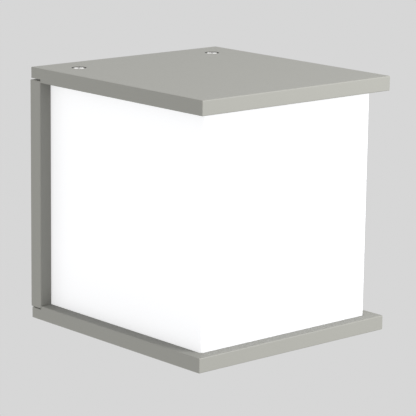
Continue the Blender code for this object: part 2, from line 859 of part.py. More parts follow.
def lampholder_body():
    """The insulating body: a solid foot, and above it the well that the threaded shell stands in."""
    mouth = HOLDER_WELL + HOLDER_MOUTH_FLARE
    shoulder = HOLDER_HEIGHT - HOLDER_MOUTH_FLARE
    profile = [
        (HOLDER_RIM_RADIUS - FIT, HOLDER_HEIGHT),
        (HOLDER_RIM_RADIUS, HOLDER_HEIGHT - FIT),
        (HOLDER_RIM_RADIUS, HOLDER_RIM_HEIGHT),
        (HOLDER_BASE_RADIUS, HOLDER_RIM_HEIGHT - HOLDER_RIM_STEP),
        (HOLDER_BASE_RADIUS, 0.0),
        (NIPPLE_RADIUS + FIT, 0.0),
        (NIPPLE_RADIUS + FIT, NIPPLE_ENTRY),
        (0.0, NIPPLE_ENTRY),
    ]
    inside = [
        (0.0, HOLDER_BASE),
        (HOLDER_WELL, HOLDER_BASE),
        (HOLDER_WELL, shoulder),
        (mouth, HOLDER_HEIGHT),
    ]
    body = turned("lampholder_body", profile + inside, (0.0, LAMP_Y, HOLDER_Z), look=holder_plastic(),
                  ring=True)
    for name, sign in (("line", -1), ("neutral", 1)):
        spot = (sign * POLE_PITCH / 2, LAMP_Y + HOLDER_BASE_RADIUS + MARGIN, HOLDER_Z + NIPPLE_ENTRY)
        depth = HOLDER_BASE_RADIUS / 2
        cut(body, cylinder(f"holder_entry_{name}", WIRE_RADIUS + FIT, depth, spot, FACING_FRONT,
                           sides=TURN_STEPS // 2))
    return body


def thread_wave(height):
    """How far a rolled lamp thread stands in from its crest at this height."""
    return THREAD_DEPTH * (0.5 - 0.5 * math.cos(2 * math.pi * height / THREAD_PITCH))


def wave_heights(length):
    """The heights of the crests and roots, from the top down."""
    step = THREAD_PITCH / 2
    highest = int(length / step)
    return [length] + [i * step for i in range(highest - 1, -1, -1)]


def lampholder_shell():
    """The holder's threaded sleeve. Its inner crests stay clear of the lamp's cap."""
    length = CAP_HEIGHT - HOUSING_WALL
    heights = wave_heights(length)
    outer = [(SHELL_OUTER - thread_wave(height), height) for height in heights]
    inner = [(SHELL_OUTER - SHELL_THICKNESS - thread_wave(height), height) for height in reversed(heights)]
    spot = (0.0, LAMP_Y, CAP_Z)
    return turned("lampholder_shell", outer + inner, spot, look=brass(), ring=True)


def lampholder_contact():
    """The sprung centre contact: a foot on the well's floor and a raised tongue under the lamp."""
    rise = CONTACT_RISE
    foot = CONTACT_THICKNESS / 2 + FIT
    path = [
        (-0.011, foot),
        (-0.006, foot),
        (-0.003, rise * 0.75),
        (0.0, rise),
        (0.004, rise),
        (0.006, rise * 0.8),
    ]
    spot = (0.0, LAMP_Y, HOLDER_FLOOR)
    return strip("lampholder_contact", path, CONTACT_WIDTH, CONTACT_THICKNESS, spot, brass())


# ---------------------------------------------------------------- lamp


def lamp_cap():
    """The lamp's screw cap: a rolled sleeve with a turned-in lower lip."""
    heights = wave_heights(CAP_HEIGHT)
    outer = [(CAP_RADIUS - thread_wave(height), height) for height in heights]
    inner_radius = CAP_RADIUS - THREAD_DEPTH - CAP_WALL
    lip = [
        (inner_radius, 0.0),
        (inner_radius * 0.7, 0.0),
        (inner_radius * 0.7, CAP_WALL),
        (inner_radius - FIT, CAP_WALL),
        (inner_radius, 2 * CAP_WALL),
        (inner_radius, CAP_HEIGHT),
    ]
    return turned("lamp_cap", outer + lip, (0.0, LAMP_Y, CAP_Z), look=nickel_plate(), ring=True)


def lamp_cap_insulator():
    wide = CAP_RADIUS - 2 * THREAD_DEPTH
    profile = [(0.0, CAP_INSULATOR_HEIGHT), (wide, CAP_INSULATOR_HEIGHT), (wide * 0.45, 0.0), (0.0, 0.0)]
    return turned("lamp_cap_insulator", profile, (0.0, LAMP_Y, CAP_INSULATOR_Z), look=insulator_black())


def lamp_cap_contact():
    top = CAP_CONTACT_HEIGHT
    profile = [(0.0, top), (CAP_CONTACT_RADIUS, top), (CAP_CONTACT_RADIUS, top / 2),
               (CAP_CONTACT_RADIUS / 2, 0.0), (0.0, 0.0)]
    return turned("lamp_cap_contact", profile, (0.0, LAMP_Y, LAMP_Z), look=tinned_copper(),
                  steps=TURN_STEPS // 2)


def housing_side(height, neck, rim):
    """The housing's outer radius: it swells from the neck to the rim on half a cosine."""
    share = height / (HOUSING_TOP - CAP_TOP)
    return neck + (rim - neck) * (0.5 - 0.5 * math.cos(math.pi * share))


def lamp_housing():
    """The lamp's flared housing, hollow and open above for the LED board, with its neck in the cap."""
    bottom = CAP_TOP + FIT
    height = HOUSING_TOP - bottom
    neck = CAP_RADIUS + FIT
    spigot = CAP_RADIUS - THREAD_DEPTH - CAP_WALL - FIT
    spigot_bottom = -CAP_HEIGHT / 2
    levels = [height * i / 6 for i in range(6, -1, -1)]
    seat = height - BOARD_THICKNESS - 2 * FIT
    outer = [(housing_side(level, neck, GLOBE_BASE_RADIUS), level) for level in levels]
    raised = [(radius - HOUSING_WALL, level + HOUSING_WALL) for radius, level in reversed(outer[:-1])]
    inner = [(spigot - HOUSING_WALL, HOUSING_WALL)] + [point for point in raised if point[1] < seat]
    ledge = GLOBE_BASE_RADIUS - 2 * HOUSING_WALL
    profile = outer + [(spigot, 0.0), (spigot, spigot_bottom), (spigot - HOUSING_WALL, spigot_bottom)]
    profile += inner + [(ledge - HOUSING_WALL, seat), (ledge + HOUSING_WALL / 2, seat),
                        (ledge + HOUSING_WALL / 2, height)]
    return turned("lamp_housing", profile, (0.0, LAMP_Y, bottom), look=lamp_plastic(), ring=True)


def lamp_led_board():
    radius = GLOBE_BASE_RADIUS - 1.5 * HOUSING_WALL - FIT
    spot = (0.0, LAMP_Y, HOUSING_TOP - BOARD_THICKNESS - FIT)
    return cylinder("lamp_led_board", radius, BOARD_THICKNESS, spot, look=board_white())


def lamp_globe():
    """A thin dome, open below, that ends on the housing's rim."""
    lowest = -math.asin(GLOBE_DROP / GLOBE_RADIUS)
    count = 10
    angles = [math.pi / 2 + (lowest - math.pi / 2) * i / count for i in range(count + 1)]
    outer = [(GLOBE_RADIUS * math.cos(a), GLOBE_RADIUS * math.sin(a)) for a in angles]
    hollow = GLOBE_RADIUS - GLOBE_WALL
    lowest = -math.asin(GLOBE_DROP / hollow)
    angles = [lowest + (math.pi / 2 - lowest) * i / count for i in range(count + 1)]
    inner = [(hollow * math.cos(a), hollow * math.sin(a)) for a in angles]
    return turned("lamp_globe", outer + inner, (0.0, LAMP_Y, GLOBE_Z), look=globe_plastic())


# ---------------------------------------------------------------- wiring


def terminal_block():
    low = (-BLOCK_LENGTH / 2, BLOCK_FRONT, BLOCK_BOTTOM)
    high = (BLOCK_LENGTH / 2, BLOCK_REAR, BLOCK_BOTTOM + BLOCK_TALL)
    body = box("terminal_block", low, high, block_plastic())
    round_edges(body, 3 * FIT, 1)
    few = TURN_STEPS // 2
    for name, x in POLES.items():
        spot = (x, POLE_Y, BLOCK_BOTTOM - MARGIN)
        cut(body, cylinder(f"barrel_{name}", INSERT_RADIUS + FIT, BLOCK_TALL + 2 * MARGIN, spot, sides=few))
        for row, sign in (("upper", 1), ("lower", -1)):
            spot = (x, POLE_Y, BLOCK_HEIGHT_ON_PLATE + sign * TERMINAL_SCREW_OFFSET)
            cut(body, cylinder(f"access_{name}_{row}", TERMINAL_SCREW_RADIUS + FIT, BLOCK_DEPTH, spot,
                               FACING_FRONT, sides=few))
    for side, sign in SIDES.items():
        spot = (sign * POLE_PITCH / 2, 0.0, BLOCK_HEIGHT_ON_PLATE)
        depth = BLOCK_DEPTH + BACK_THICKNESS + MARGIN
        cut(body, cylinder(f"block_fixing_{side}", M3_SHANK_RADIUS + FIT, depth, spot, FACING_FRONT,
                           sides=few))
    return body


def terminal_inserts():
    """A brass barrel for each pole, and the two clamping screws in front of it."""
    few = TURN_STEPS // 2
    length = BLOCK_TALL - 2 * MARGIN
    for name, x in POLES.items():
        profile = [(INSERT_RADIUS, length), (INSERT_RADIUS, 0.0), (INSERT_BORE, 0.0), (INSERT_BORE, length)]
        spot = (x, POLE_Y, BLOCK_BOTTOM + MARGIN)
        turned(f"terminal_insert_{name}", profile, spot, look=brass(), ring=True, steps=few)
        for row, sign in (("upper", 1), ("lower", -1)):
            spot = (x, POLE_Y - INSERT_RADIUS - FIT, BLOCK_HEIGHT_ON_PLATE + sign * TERMINAL_SCREW_OFFSET)
            screw = cylinder(f"terminal_screw_{name}_{row}", TERMINAL_SCREW_RADIUS, TERMINAL_SCREW_LENGTH,
                             spot, FACING_FRONT, zinc_plated_steel(), few)
            slot = box(f"terminal_screw_{name}_{row}_slot", (-MARGIN, -FIT, -3 * FIT), (MARGIN, FIT, MARGIN))
            slot.parent = screw
            slot.location.z += TERMINAL_SCREW_LENGTH
            cut(screw, slot)


def terminal_block_screws():
    for side, sign in SIDES.items():
        spot = (sign * POLE_PITCH / 2, BLOCK_FRONT - FIT, BLOCK_HEIGHT_ON_PLATE)
        pan_screw(f"terminal_block_screw_{side}", spot, FACING_FRONT, M3_HEAD_RADIUS, M3_HEAD_HEIGHT,
                  M3_SHANK_RADIUS, M3_LENGTH, zinc_plated_steel())


def earth_ring_terminal():
    """A flat ring under the earth screw, with a crimp barrel that points down."""
    rear = BACK_FACE - FIT
    spot = (EARTH_X, rear, EARTH_Z)
    ring = cylinder("earth_ring_terminal", RING_TERMINAL_RADIUS, RING_TERMINAL_THICKNESS, spot,
                    FACING_FRONT, tinned_copper())
    crimp_top = EARTH_Z - RING_TERMINAL_RADIUS + FIT
    neck = box(
        "ring_neck",
        (EARTH_X - CRIMP_RADIUS / 2, rear - RING_TERMINAL_THICKNESS, crimp_top - CRIMP_LENGTH / 2),
        (EARTH_X + CRIMP_RADIUS / 2, rear - FIT / 3, EARTH_Z - M4_SHANK_RADIUS - FIT),
    )
    few = TURN_STEPS // 2
    crimp_spot = (EARTH_X, rear - CRIMP_RADIUS - FIT / 3, crimp_top)
    crimp = cylinder("ring_crimp", CRIMP_RADIUS, CRIMP_LENGTH, crimp_spot, FACING_DOWN, sides=few)
    bore_spot = (EARTH_X, rear - CRIMP_RADIUS - FIT / 3, crimp_top + MARGIN)
    bore = cylinder("ring_bore", WIRE_RADIUS + FIT, CRIMP_LENGTH + 2 * MARGIN, bore_spot, FACING_DOWN,
                    sides=few)
    hole = cylinder("ring_hole", M4_SHANK_RADIUS + FIT, 3 * MARGIN, (EARTH_X, rear + MARGIN, EARTH_Z),
                    FACING_FRONT, sides=few)
    join(ring, neck, crimp)
    cut(ring, bore, hole)
    return ring


def earth_washer():
    inner = M4_SHANK_RADIUS + FIT
    profile = [(M4_HEAD_RADIUS + FIT, RING_TERMINAL_THICKNESS), (M4_HEAD_RADIUS + FIT, 0.0),
               (inner, 0.0), (inner, RING_TERMINAL_THICKNESS)]
    spot = (EARTH_X, BACK_FACE - RING_TERMINAL_THICKNESS - 2 * FIT, EARTH_Z)
    return turned("earth_washer", profile, spot, FACING_FRONT, stainless_steel(), ring=True)


def earth_screw():
    spot = (EARTH_X, BACK_FACE - 2 * RING_TERMINAL_THICKNESS - 3 * FIT, EARTH_Z)
    return pan_screw("earth_screw", spot, FACING_FRONT, M4_HEAD_RADIUS, M4_HEAD_HEIGHT, M4_SHANK_RADIUS,
                     M4_LENGTH, stainless_steel())


def wires():
    """Line and neutral run from the block to the holder's foot, and earth loops to its ring terminal."""
    entry = BLOCK_BOTTOM + 2 * MARGIN
    holder_y = LAMP_Y + HOLDER_BASE_RADIUS
    holder_z = HOLDER_Z + NIPPLE_ENTRY
    for name, look, sign in (("line", wire_brown(), -1), ("neutral", wire_blue(), 1)):
        x = POLES[name]
        end_x = sign * POLE_PITCH / 2
        drop = holder_z - BLOCK_BOTTOM
        points = [
            (x, POLE_Y, entry),
            (x, POLE_Y, BLOCK_BOTTOM - 0.004),
            (x, POLE_Y, BLOCK_BOTTOM + 0.35 * drop),
            (x, POLE_Y - 0.001, BLOCK_BOTTOM + 0.65 * drop),
            (x + 0.3 * (end_x - x), POLE_Y - 0.007, BLOCK_BOTTOM + 0.88 * drop),
            (x + 0.7 * (end_x - x), POLE_Y - 0.020, holder_z - 0.001),
            (end_x, holder_y + 0.012, holder_z),
            (end_x, holder_y + 0.004, holder_z),
            (end_x, holder_y - HOLDER_BASE_RADIUS / 4, holder_z),
        ]
        wire(f"wire_{name}", points, look)
    crimp_y = BACK_FACE - FIT - CRIMP_RADIUS - FIT / 3
    crimp_z = EARTH_Z - RING_TERMINAL_RADIUS + FIT - CRIMP_LENGTH
    pole_x = POLES["earth"]
    middle = (EARTH_X + pole_x) / 2
    reach = (EARTH_X - pole_x) / 2
    points = [
        (EARTH_X, crimp_y, crimp_z + 0.003),
        (EARTH_X, crimp_y, crimp_z - 0.004),
        (EARTH_X - 0.001, crimp_y, crimp_z - 0.010),
        (middle, (crimp_y + POLE_Y) / 2, crimp_z - 0.012 - 0.7 * reach),
        (pole_x + 0.001, POLE_Y, crimp_z - 0.010),
        (pole_x, POLE_Y, BLOCK_BOTTOM - 0.004),
        (pole_x, POLE_Y, entry),
    ]
    wire("wire_earth", points, wire_green())


# ---------------------------------------------------------------- the lantern


def build():
    back_plate()
    wall_gasket()
    cable_grommet()
    bottom_plate()
    bottom_gasket()
    diffuser()
    top_cover()
    cover_gasket()
    for side, sign in SIDES.items():
        x = sign * SCREW_X
        countersunk_screw(f"cover_screw_{side}", x, COVER_TOP, FACING_UP)
        screw_seal(f"cover_screw_seal_{side}", x)
        countersunk_screw(f"bottom_screw_{side}", x, BASE_BOTTOM, FACING_DOWN)
    lampholder_bracket()
    bracket_screws()
    lampholder_nipple()
    lampholder_nut()
    lampholder_body()
    lampholder_shell()
    lampholder_contact()
    lamp_cap()
    lamp_cap_insulator()
    lamp_cap_contact()
    lamp_housing()
    lamp_led_board()
    lamp_globe()
    terminal_block()
    terminal_inserts()
    terminal_block_screws()
    earth_ring_terminal()
    earth_washer()
    earth_screw()
    wires()


clear_scene()
lantern = collection("outdoor_wall_lantern")
cutters = collection("cutters")
build()
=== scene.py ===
"""Outdoor wall lantern: the visible pieces, their finishes and the studio they stand in.

Laid out as an add-on and run as a script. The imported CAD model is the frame: every piece takes its place
from it and rides on its bodies. Metres, +Z up, the front faces -Y and the wall is y = 0.
"""

import math
from contextlib import contextmanager

import bmesh
import bpy
from mathutils import Matrix, Quaternion, Vector


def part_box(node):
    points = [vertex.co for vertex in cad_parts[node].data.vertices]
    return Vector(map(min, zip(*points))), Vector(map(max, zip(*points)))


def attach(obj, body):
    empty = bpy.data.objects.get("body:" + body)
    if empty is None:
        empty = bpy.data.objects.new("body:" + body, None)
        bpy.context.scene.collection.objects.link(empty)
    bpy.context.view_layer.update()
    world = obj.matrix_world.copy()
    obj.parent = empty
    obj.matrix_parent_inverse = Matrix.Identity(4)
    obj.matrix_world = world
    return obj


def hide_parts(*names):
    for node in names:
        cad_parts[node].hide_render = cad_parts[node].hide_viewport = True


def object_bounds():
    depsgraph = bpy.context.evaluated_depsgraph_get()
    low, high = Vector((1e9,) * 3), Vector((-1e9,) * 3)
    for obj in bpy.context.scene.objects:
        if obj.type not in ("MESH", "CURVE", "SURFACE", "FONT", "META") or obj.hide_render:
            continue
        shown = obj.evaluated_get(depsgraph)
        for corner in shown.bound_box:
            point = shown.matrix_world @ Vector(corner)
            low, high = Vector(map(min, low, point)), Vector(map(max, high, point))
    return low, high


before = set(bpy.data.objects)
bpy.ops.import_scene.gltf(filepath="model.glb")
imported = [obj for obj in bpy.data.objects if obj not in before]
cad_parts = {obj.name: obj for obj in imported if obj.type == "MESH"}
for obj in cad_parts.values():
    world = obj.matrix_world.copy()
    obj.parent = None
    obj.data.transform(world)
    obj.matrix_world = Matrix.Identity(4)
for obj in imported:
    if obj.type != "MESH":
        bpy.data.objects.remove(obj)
cad_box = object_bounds()

bl_info = {
    "name": "Outdoor wall lantern",
    "version": (1, 0, 0),
    "blender": (4, 5, 0),
    "location": "View3D > Sidebar > Lantern",
    "description": "Builds a cube-shaped wall lantern piece by piece",
    "category": "Object",
}

UP = Vector((0.0, 0.0, 1.0))
DOWN = -UP
RIGHT = Vector((1.0, 0.0, 0.0))
FORWARD = Vector((0.0, -1.0, 0.0))
SIDES = {"left": -1, "right": 1}
POLES = ("line", "neutral", "earth")
X, Y, Z = 0, 1, 2

# The side on which each pole's wire enters the lampholder, and the turn of the slots in each row of screws
LIVE_POLES = {"line": -1, "neutral": 1}
ROWS = {"upper": 0.4, "lower": 1.1}


def middle_of(node):
    """The middle of a node's box."""
    low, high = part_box(node)
    return (low + high) / 2


def size_of(node):
    """Half the width of a node's box, and its height."""
    low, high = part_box(node)
    return (high.x - low.x) / 2, high.z - low.z


# Boxes of the frame's nodes that the pieces are set out from
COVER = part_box("top_cover")
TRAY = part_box("bottom_plate")
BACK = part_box("back_plate")
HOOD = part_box("diffuser")
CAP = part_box("lamp_cap")
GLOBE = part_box("lamp_globe")
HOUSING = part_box("lamp_housing")
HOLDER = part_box("lampholder_body")
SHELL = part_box("lampholder_shell")
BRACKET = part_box("lampholder_bracket")
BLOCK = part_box("terminal_block")

# The bottom plate without the bosses on it: as thick as the cover
BASE = (TRAY[0], Vector((TRAY[1].x, TRAY[1].y, TRAY[0].z + COVER[1].z - COVER[0].z)))

# Clearances, and the softness of an edge in plastic and rubber
HAIR = 0.0003
MARGIN = 0.002
MERGE = 0.00001
SOFT_EDGE = 0.0004

# Castings
REBATE_DEPTH = 0.0025
GROOVE_DEPTH = 0.0040
GROOVE_PLAY = 0.0006
HOOD_WALL = 0.003
HOOD_CORNER = 0.0015
POCKET_X = 0.0677
POCKET_FRONT = -0.1607
POCKET_REAR = -0.0340
POCKET_DEPTH = 0.0065
POCKET_RADIUS = 0.006
BACK_FACE = -0.011
BACK_GROOVE = 0.003
LUG_WIDTH = 0.011
LUG_HEIGHT = 0.018
LUG_TIP = -0.029
LUG_HOLE = 0.014
REAR_POCKET_DEPTH = 0.0055
REAR_BAND = 0.040
REAR_RIM = 0.0165
SEAL_INSET = 0.0080
SEAL_WIDTH = 0.0044
SEAL_DEPTH = 0.0027
SEAL_VALLEY = 0.0008
WALL_SLOT_X = 0.045
WALL_SLOT_LENGTH = 0.012
WALL_SLOT_WIDTH = 0.0055
CABLE_HOLE = 0.008
CABLE_HEIGHT = middle_of("cable_grommet").z
BOSS_RADIUS = 0.0045
FLOOR_ROUNDING = 0.001

# Countersunk screws
SCREW_X = middle_of("cover_screw_right").x
SCREW_Y = middle_of("cover_screw_right").y
SCREW_HEAD = 0.0038
SCREW_LAND = 0.0003
SCREW_SHANK = 0.0024
SCREW_LENGTH = 0.020
SCREW_PITCH = 0.0008
SCREW_THREAD = 0.00045
SCREW_SINK = 0.0003
SINK_MOUTH = 0.0053
SINK_RADIUS = 0.0049
SINK_DEPTH = 0.0014
COUNTERBORE = 0.0044
COUNTERBORE_DEPTH = 0.0048
SCREW_HOLE = 0.0027
SCREW_HOLE_DEPTH = 0.012
RECESS_SPAN = 0.0050
RECESS_WIDTH = 0.0014
RECESS_DEPTH = 0.0020
LATHE_WAVES = 45000.0

# Small screws as (head radius, head height, shank radius, length, pitch)
M4 = (0.0037, 0.0024, 0.0018, 0.0075, 0.0007)
M3 = (0.0027, 0.0018, 0.0013, 0.018, 0.0005)

# Lampholder and lamp
LAMP_Y = middle_of("lamp_cap").y
BOSS_X = middle_of("bracket_screw_right").x
NIPPLE = 0.0049
NIPPLE_BORE = 0.0034
HOLDER_BASE = HOLDER[1].x - 0.0015
ENTRY_X = 0.005
ENTRY_HEIGHT = 0.0065
LAMP_PITCH = 0.00362
LAMP_THREAD = 0.0006
SHELL_WALL = 0.0006
CAP_RADIUS = 0.0131
CAP_WALL = 0.0005
CAP_INSIDE = CAP_RADIUS - LAMP_THREAD - CAP_WALL
HOUSING_WALL = 0.002
GLOBE_RADIUS = 0.030
GLOBE_WALL = 0.0012

# Wiring
WIRE_RADIUS = 0.0010
WIRE_RINGS = 4
BARREL_BORE = 0.0015
RING_TERMINAL = 0.0042
CRIMP_RADIUS = 0.0018
CRIMP_LENGTH = 0.006

# Studio lights as (place, target, size, watts)
KEY_LIGHT = ((0.42, -1.0, 0.50), (0.0, LAMP_Y, 0.0), 0.6, 8.2)
REAR_LIGHT = ((1.1, 1.25, 0.42), (0.0, SCREW_Y, COVER[1].z), 0.6, 0.65)
FLOOR_DROP = 0.9


# ---------------------------------------------------------------- settings


class LanternPaint(bpy.types.PropertyGroup):
    """The powder coat on the three castings."""

    colour: bpy.props.FloatVectorProperty(
        name="Colour", description="Base colour of the coat", subtype="COLOR", size=3, min=0, max=1,
        default=(0.388, 0.387, 0.353),
    )
    roughness: bpy.props.FloatProperty(
        name="Roughness", description="How dull the coat is", default=0.46, min=0, max=1, subtype="FACTOR"
    )
    grain: bpy.props.FloatProperty(
        name="Grain", description="Width of one orange-peel dimple", default=0.0011, unit="LENGTH"
    )
    rounding: bpy.props.FloatProperty(
        name="Rounding", description="Radius along the castings' outer edges", default=0.0007, unit="LENGTH"
    )


class LanternGlow(bpy.types.PropertyGroup):
    """The lit diffuser."""

    strength: bpy.props.FloatProperty(
        name="Strength", description="Light given off by the diffuser", default=0.63, min=0
    )
    colour: bpy.props.FloatVectorProperty(
        name="Colour", description="Colour of the opal plastic", subtype="COLOR", size=3, min=0, max=1,
        default=(0.55, 0.555, 0.58),
    )


class LanternFixings(bpy.types.PropertyGroup):
    """The screws that hold the cover and the bottom plate."""

    steel: bpy.props.FloatVectorProperty(
        name="Steel", description="Colour of the stainless steel", subtype="COLOR", size=3, min=0, max=1,
        default=(0.78, 0.77, 0.75),
    )
    recess_angle: bpy.props.FloatProperty(
        name="Recess angle", description="Turn of the cross recess in the cover screws", subtype="ANGLE",
        default=math.radians(48.0),
    )


class LanternStage(bpy.types.PropertyGroup):
    """The studio: the view, the backdrop and the lights."""

    azimuth: bpy.props.FloatProperty(
        name="Azimuth", description="Where the camera stands, turned from the front", subtype="ANGLE",
        default=math.radians(-41.709),
    )
    elevation: bpy.props.FloatProperty(
        name="Elevation", description="The camera's angle above the level", subtype="ANGLE",
        default=math.radians(12.299),
    )
    roll: bpy.props.FloatProperty(
        name="Roll", description="The camera's turn about its line of sight", subtype="ANGLE",
        default=math.radians(0.754),
    )
    position: bpy.props.FloatVectorProperty(
        name="Position", description="Where the camera stands", subtype="XYZ", size=3, unit="LENGTH",
        default=(-0.93893, -1.14231, 0.30134),
    )
    lens: bpy.props.FloatProperty(
        name="Lens", description="Focal length in millimetres", default=183.92, min=1
    )
    backdrop: bpy.props.FloatVectorProperty(
        name="Backdrop", description="Grey of the floor and the surroundings", subtype="COLOR", size=3, min=0,
        max=1, default=(0.679, 0.679, 0.679),
    )


def settings(name):
    return getattr(bpy.context.scene, name)


# ---------------------------------------------------------------- modelling


def deselect():
    for obj in bpy.context.selected_objects:
        obj.select_set(False)


def activate(piece):
    deselect()
    piece.select_set(True)
    bpy.context.view_layer.objects.active = piece


def rest_at_origin():
    """Moves the active piece's place, turn and scale into its mesh."""
    bpy.ops.object.transform_apply(location=True, rotation=True, scale=True)


def settled(name):
    """Names the new primitive and leaves it unturned at the origin."""
    piece = bpy.context.object
    piece.name = name
    piece.data.name = name
    rest_at_origin()
    return piece


def block(name, low, high):
    """A box between two corners."""
    deselect()
    low, high = Vector(low), Vector(high)
    bpy.ops.mesh.primitive_cube_add(size=1.0, location=(low + high) / 2)
    bpy.context.object.scale = high - low
    return settled(name)


def rod(name, radius, spot, axis, length, sides=48):
    """A cylinder that starts at the spot and runs along the axis."""
    deselect()
    middle = Vector(spot) + axis * length / 2
    turn = axis.to_track_quat("Z", "Y").to_euler()
    bpy.ops.mesh.primitive_cylinder_add(
        vertices=sides, radius=radius, depth=length, location=middle, rotation=turn
    )
    return settled(name)


@contextmanager
def editing(piece, mode="VERT"):
    """Edit mode on one piece, with nothing selected at first."""
    activate(piece)
    bpy.ops.object.mode_set(mode="EDIT")
    bpy.ops.mesh.select_mode(type=mode)
    bpy.ops.mesh.select_all(action="DESELECT")
    yield
    bpy.ops.object.mode_set(mode="OBJECT")


def pick(kind, test):
    """Selects the verts, edges or faces that pass the test."""
    mesh = bpy.context.edit_object.data
    form = bmesh.from_edit_mesh(mesh)
    for item in getattr(form, kind):
        item.select_set(test(item))
    bmesh.update_edit_mesh(mesh)


def select_all():
    bpy.ops.mesh.select_all(action="SELECT")


def close_up():
    """In edit mode: joins points that coincide and turns every face outwards."""
    select_all()
    bpy.ops.mesh.remove_doubles(threshold=MERGE)
    bpy.ops.mesh.normals_make_consistent(inside=False)


def runs_along(edge, axis):
    step = edge.verts[1].co - edge.verts[0].co
    return abs(abs(step[axis]) - step.length) < MERGE


def spot_on(edge):
    """The middle of an edge."""
    return (edge.verts[0].co + edge.verts[1].co) / 2


def every(edge):
    return True


def upright(edge):
    return runs_along(edge, Z)


def into_wall(edge):
    return runs_along(edge, Y)


def front_corner(edge):
    """The upright edges on the front half of what the diffuser fits."""
    return upright(edge) and spot_on(edge).y < LAMP_Y


def round_edges(piece, radius, test=every, segments=6):
    """Rounds the edges that pass the test."""
    with editing(piece, "EDGE"):
        pick("edges", test)
        bpy.ops.mesh.bevel(offset=radius, segments=segments, affect="EDGES")
    return piece


def apply_modifiers(piece):
    activate(piece)
    for change in list(piece.modifiers):
        bpy.ops.object.modifier_apply(modifier=change.name)


def combine(piece, tools, operation):
    for tool in tools:
        change = piece.modifiers.new("combine", "BOOLEAN")
        change.operation = operation
        change.solver = "EXACT"
        change.object = tool
        apply_modifiers(piece)
        bpy.data.objects.remove(tool)
    return piece


def carve(piece, *tools):
    return combine(piece, tools, "DIFFERENCE")


def weld(piece, *tools):
    return combine(piece, tools, "UNION")


def outline(name, points):
    """A line of points: one vertex, extruded from point to point."""
    deselect()
    bpy.ops.mesh.primitive_plane_add(size=MERGE, location=points[0])
    piece = settled(name)
    with editing(piece):
        select_all()
        bpy.ops.mesh.merge(type="CENTER")
        for here, there in zip(points, points[1:]):
            step = tuple(Vector(there) - Vector(here))
            bpy.ops.mesh.extrude_region_move(TRANSFORM_OT_translate={"value": step})
    return piece


def turned(name, profile, spot, axis=UP, steps=64, ring=False):
    """Spins (radius, height) points about an axis through the spot. A ring's profile closes on itself."""
    spot = Vector(spot)
    if ring:
        profile = [*profile, profile[0]]
    points = [spot + RIGHT * radius + axis * height for radius, height in profile]
    piece = outline(name, points)
    with editing(piece):
        select_all()
        bpy.ops.mesh.remove_doubles(threshold=MERGE)
        bpy.ops.mesh.spin(steps=steps, angle=2 * math.pi, center=spot, axis=axis)
        close_up()
    return piece


def arc(centre, radius, start, end, count=8):
    """Points on an arc, with angles in degrees from +radius towards +height."""
    angles = [math.radians(start + (end - start) * i / count) for i in range(count + 1)]
    return [(centre[0] + radius * math.cos(a), centre[1] + radius * math.sin(a)) for a in angles]


def stand(piece, spot, axis):
    """Moves a piece made about the origin along +Z to its spot, facing along the axis."""
    turn = axis.to_track_quat("Z", "Y").to_matrix().to_4x4()
    piece.matrix_world = Matrix.Translation(Vector(spot)) @ turn
    activate(piece)
    rest_at_origin()
    return piece


def helix(name, profile, pitch, length, steps, capped):
    """Winds one pitch of a thread's profile round +Z from the origin and trims both ends square.

    It starts an uneven share of a pitch below the origin, so that no point of it lies on a cut.
    """
    lead = 1.37 * pitch
    piece = outline(name, [(radius, 0.0, height - lead) for radius, height in profile])
    winding = piece.modifiers.new("winding", "SCREW")
    winding.steps = steps
    winding.render_steps = steps
    winding.screw_offset = pitch
    winding.iterations = math.ceil(length / pitch) + 3
    apply_modifiers(piece)
    with editing(piece):
        close_up()
        for level, facing in ((0.0, -1.0), (length, 1.0)):
            select_all()
            bpy.ops.mesh.bisect(
                plane_co=(0.0, 0.0, level), plane_no=(0.0, 0.0, facing), use_fill=capped, clear_outer=True,
                threshold=MERGE / 100,
            )
        close_up()
    return piece


def threaded(name, crest, depth, pitch, length, steps=24):
    """A threaded shank about +Z from the origin."""
    root = crest - depth
    profile = [(root, 0.0), (crest, 0.44 * pitch), (crest, 0.56 * pitch), (root, pitch)]
    return helix(name, profile, pitch, length, steps, True)


def cross_recess(name, top, span, width, depth, turn=0.0):
    """The tool for a cross recess in a head whose top is at this height: two arms that narrow downwards."""
    arms = []
    for angle in (turn, turn + math.pi / 2):
        arm = block(name, (-span / 2, -width / 2, top - depth), (span / 2, width / 2, top + MARGIN))
        with editing(arm):
            pick("verts", lambda vert: vert.co.z < top)
            bpy.ops.transform.resize(value=(0.35, 0.7, 1.0), center_override=(0.0, 0.0, top - depth))
        arm.rotation_euler.z = angle
        activate(arm)
        rest_at_origin()
        arms.append(arm)
    return weld(arms[0], arms[1])


def shade(piece, angle=35.0):
    """Smooth shading that keeps corners sharp and flat faces flat."""
    activate(piece)
    bpy.ops.object.shade_smooth_by_angle(angle=math.radians(angle))
    weigh = piece.modifiers.new("weigh", "WEIGHTED_NORMAL")
    weigh.keep_sharp = True
    apply_modifiers(piece)
    return piece


def finish(piece, look, body, slot, *nodes, angle=35.0):
    """Shades a piece, paints it and ties it to the frame."""
    shade(piece, angle)
    piece.data.materials.clear()
    piece.data.materials.append(look)
    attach(piece, body)
    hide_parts(*nodes)
    return piece


def dress(node, look):
    """Gives one of the frame's own nodes its finish."""
    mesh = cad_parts[node].data
    mesh.materials.clear()
    mesh.materials.append(look)


# ---------------------------------------------------------------- shader maths


class Value:
    """A node's output that can stand in a sum: the operators add Math nodes."""

    def __init__(self, surface, socket):
        self.surface = surface
        self.socket = socket

    def __add__(self, other):
        return self.surface.math("ADD", self, other)

    def __radd__(self, other):
        return self.surface.math("ADD", other, self)

    def __sub__(self, other):
        return self.surface.math("SUBTRACT", self, other)

    def __mul__(self, other):
        return self.surface.math("MULTIPLY", self, other)

    def __pow__(self, other):
        return self.surface.math("POWER", self, other)


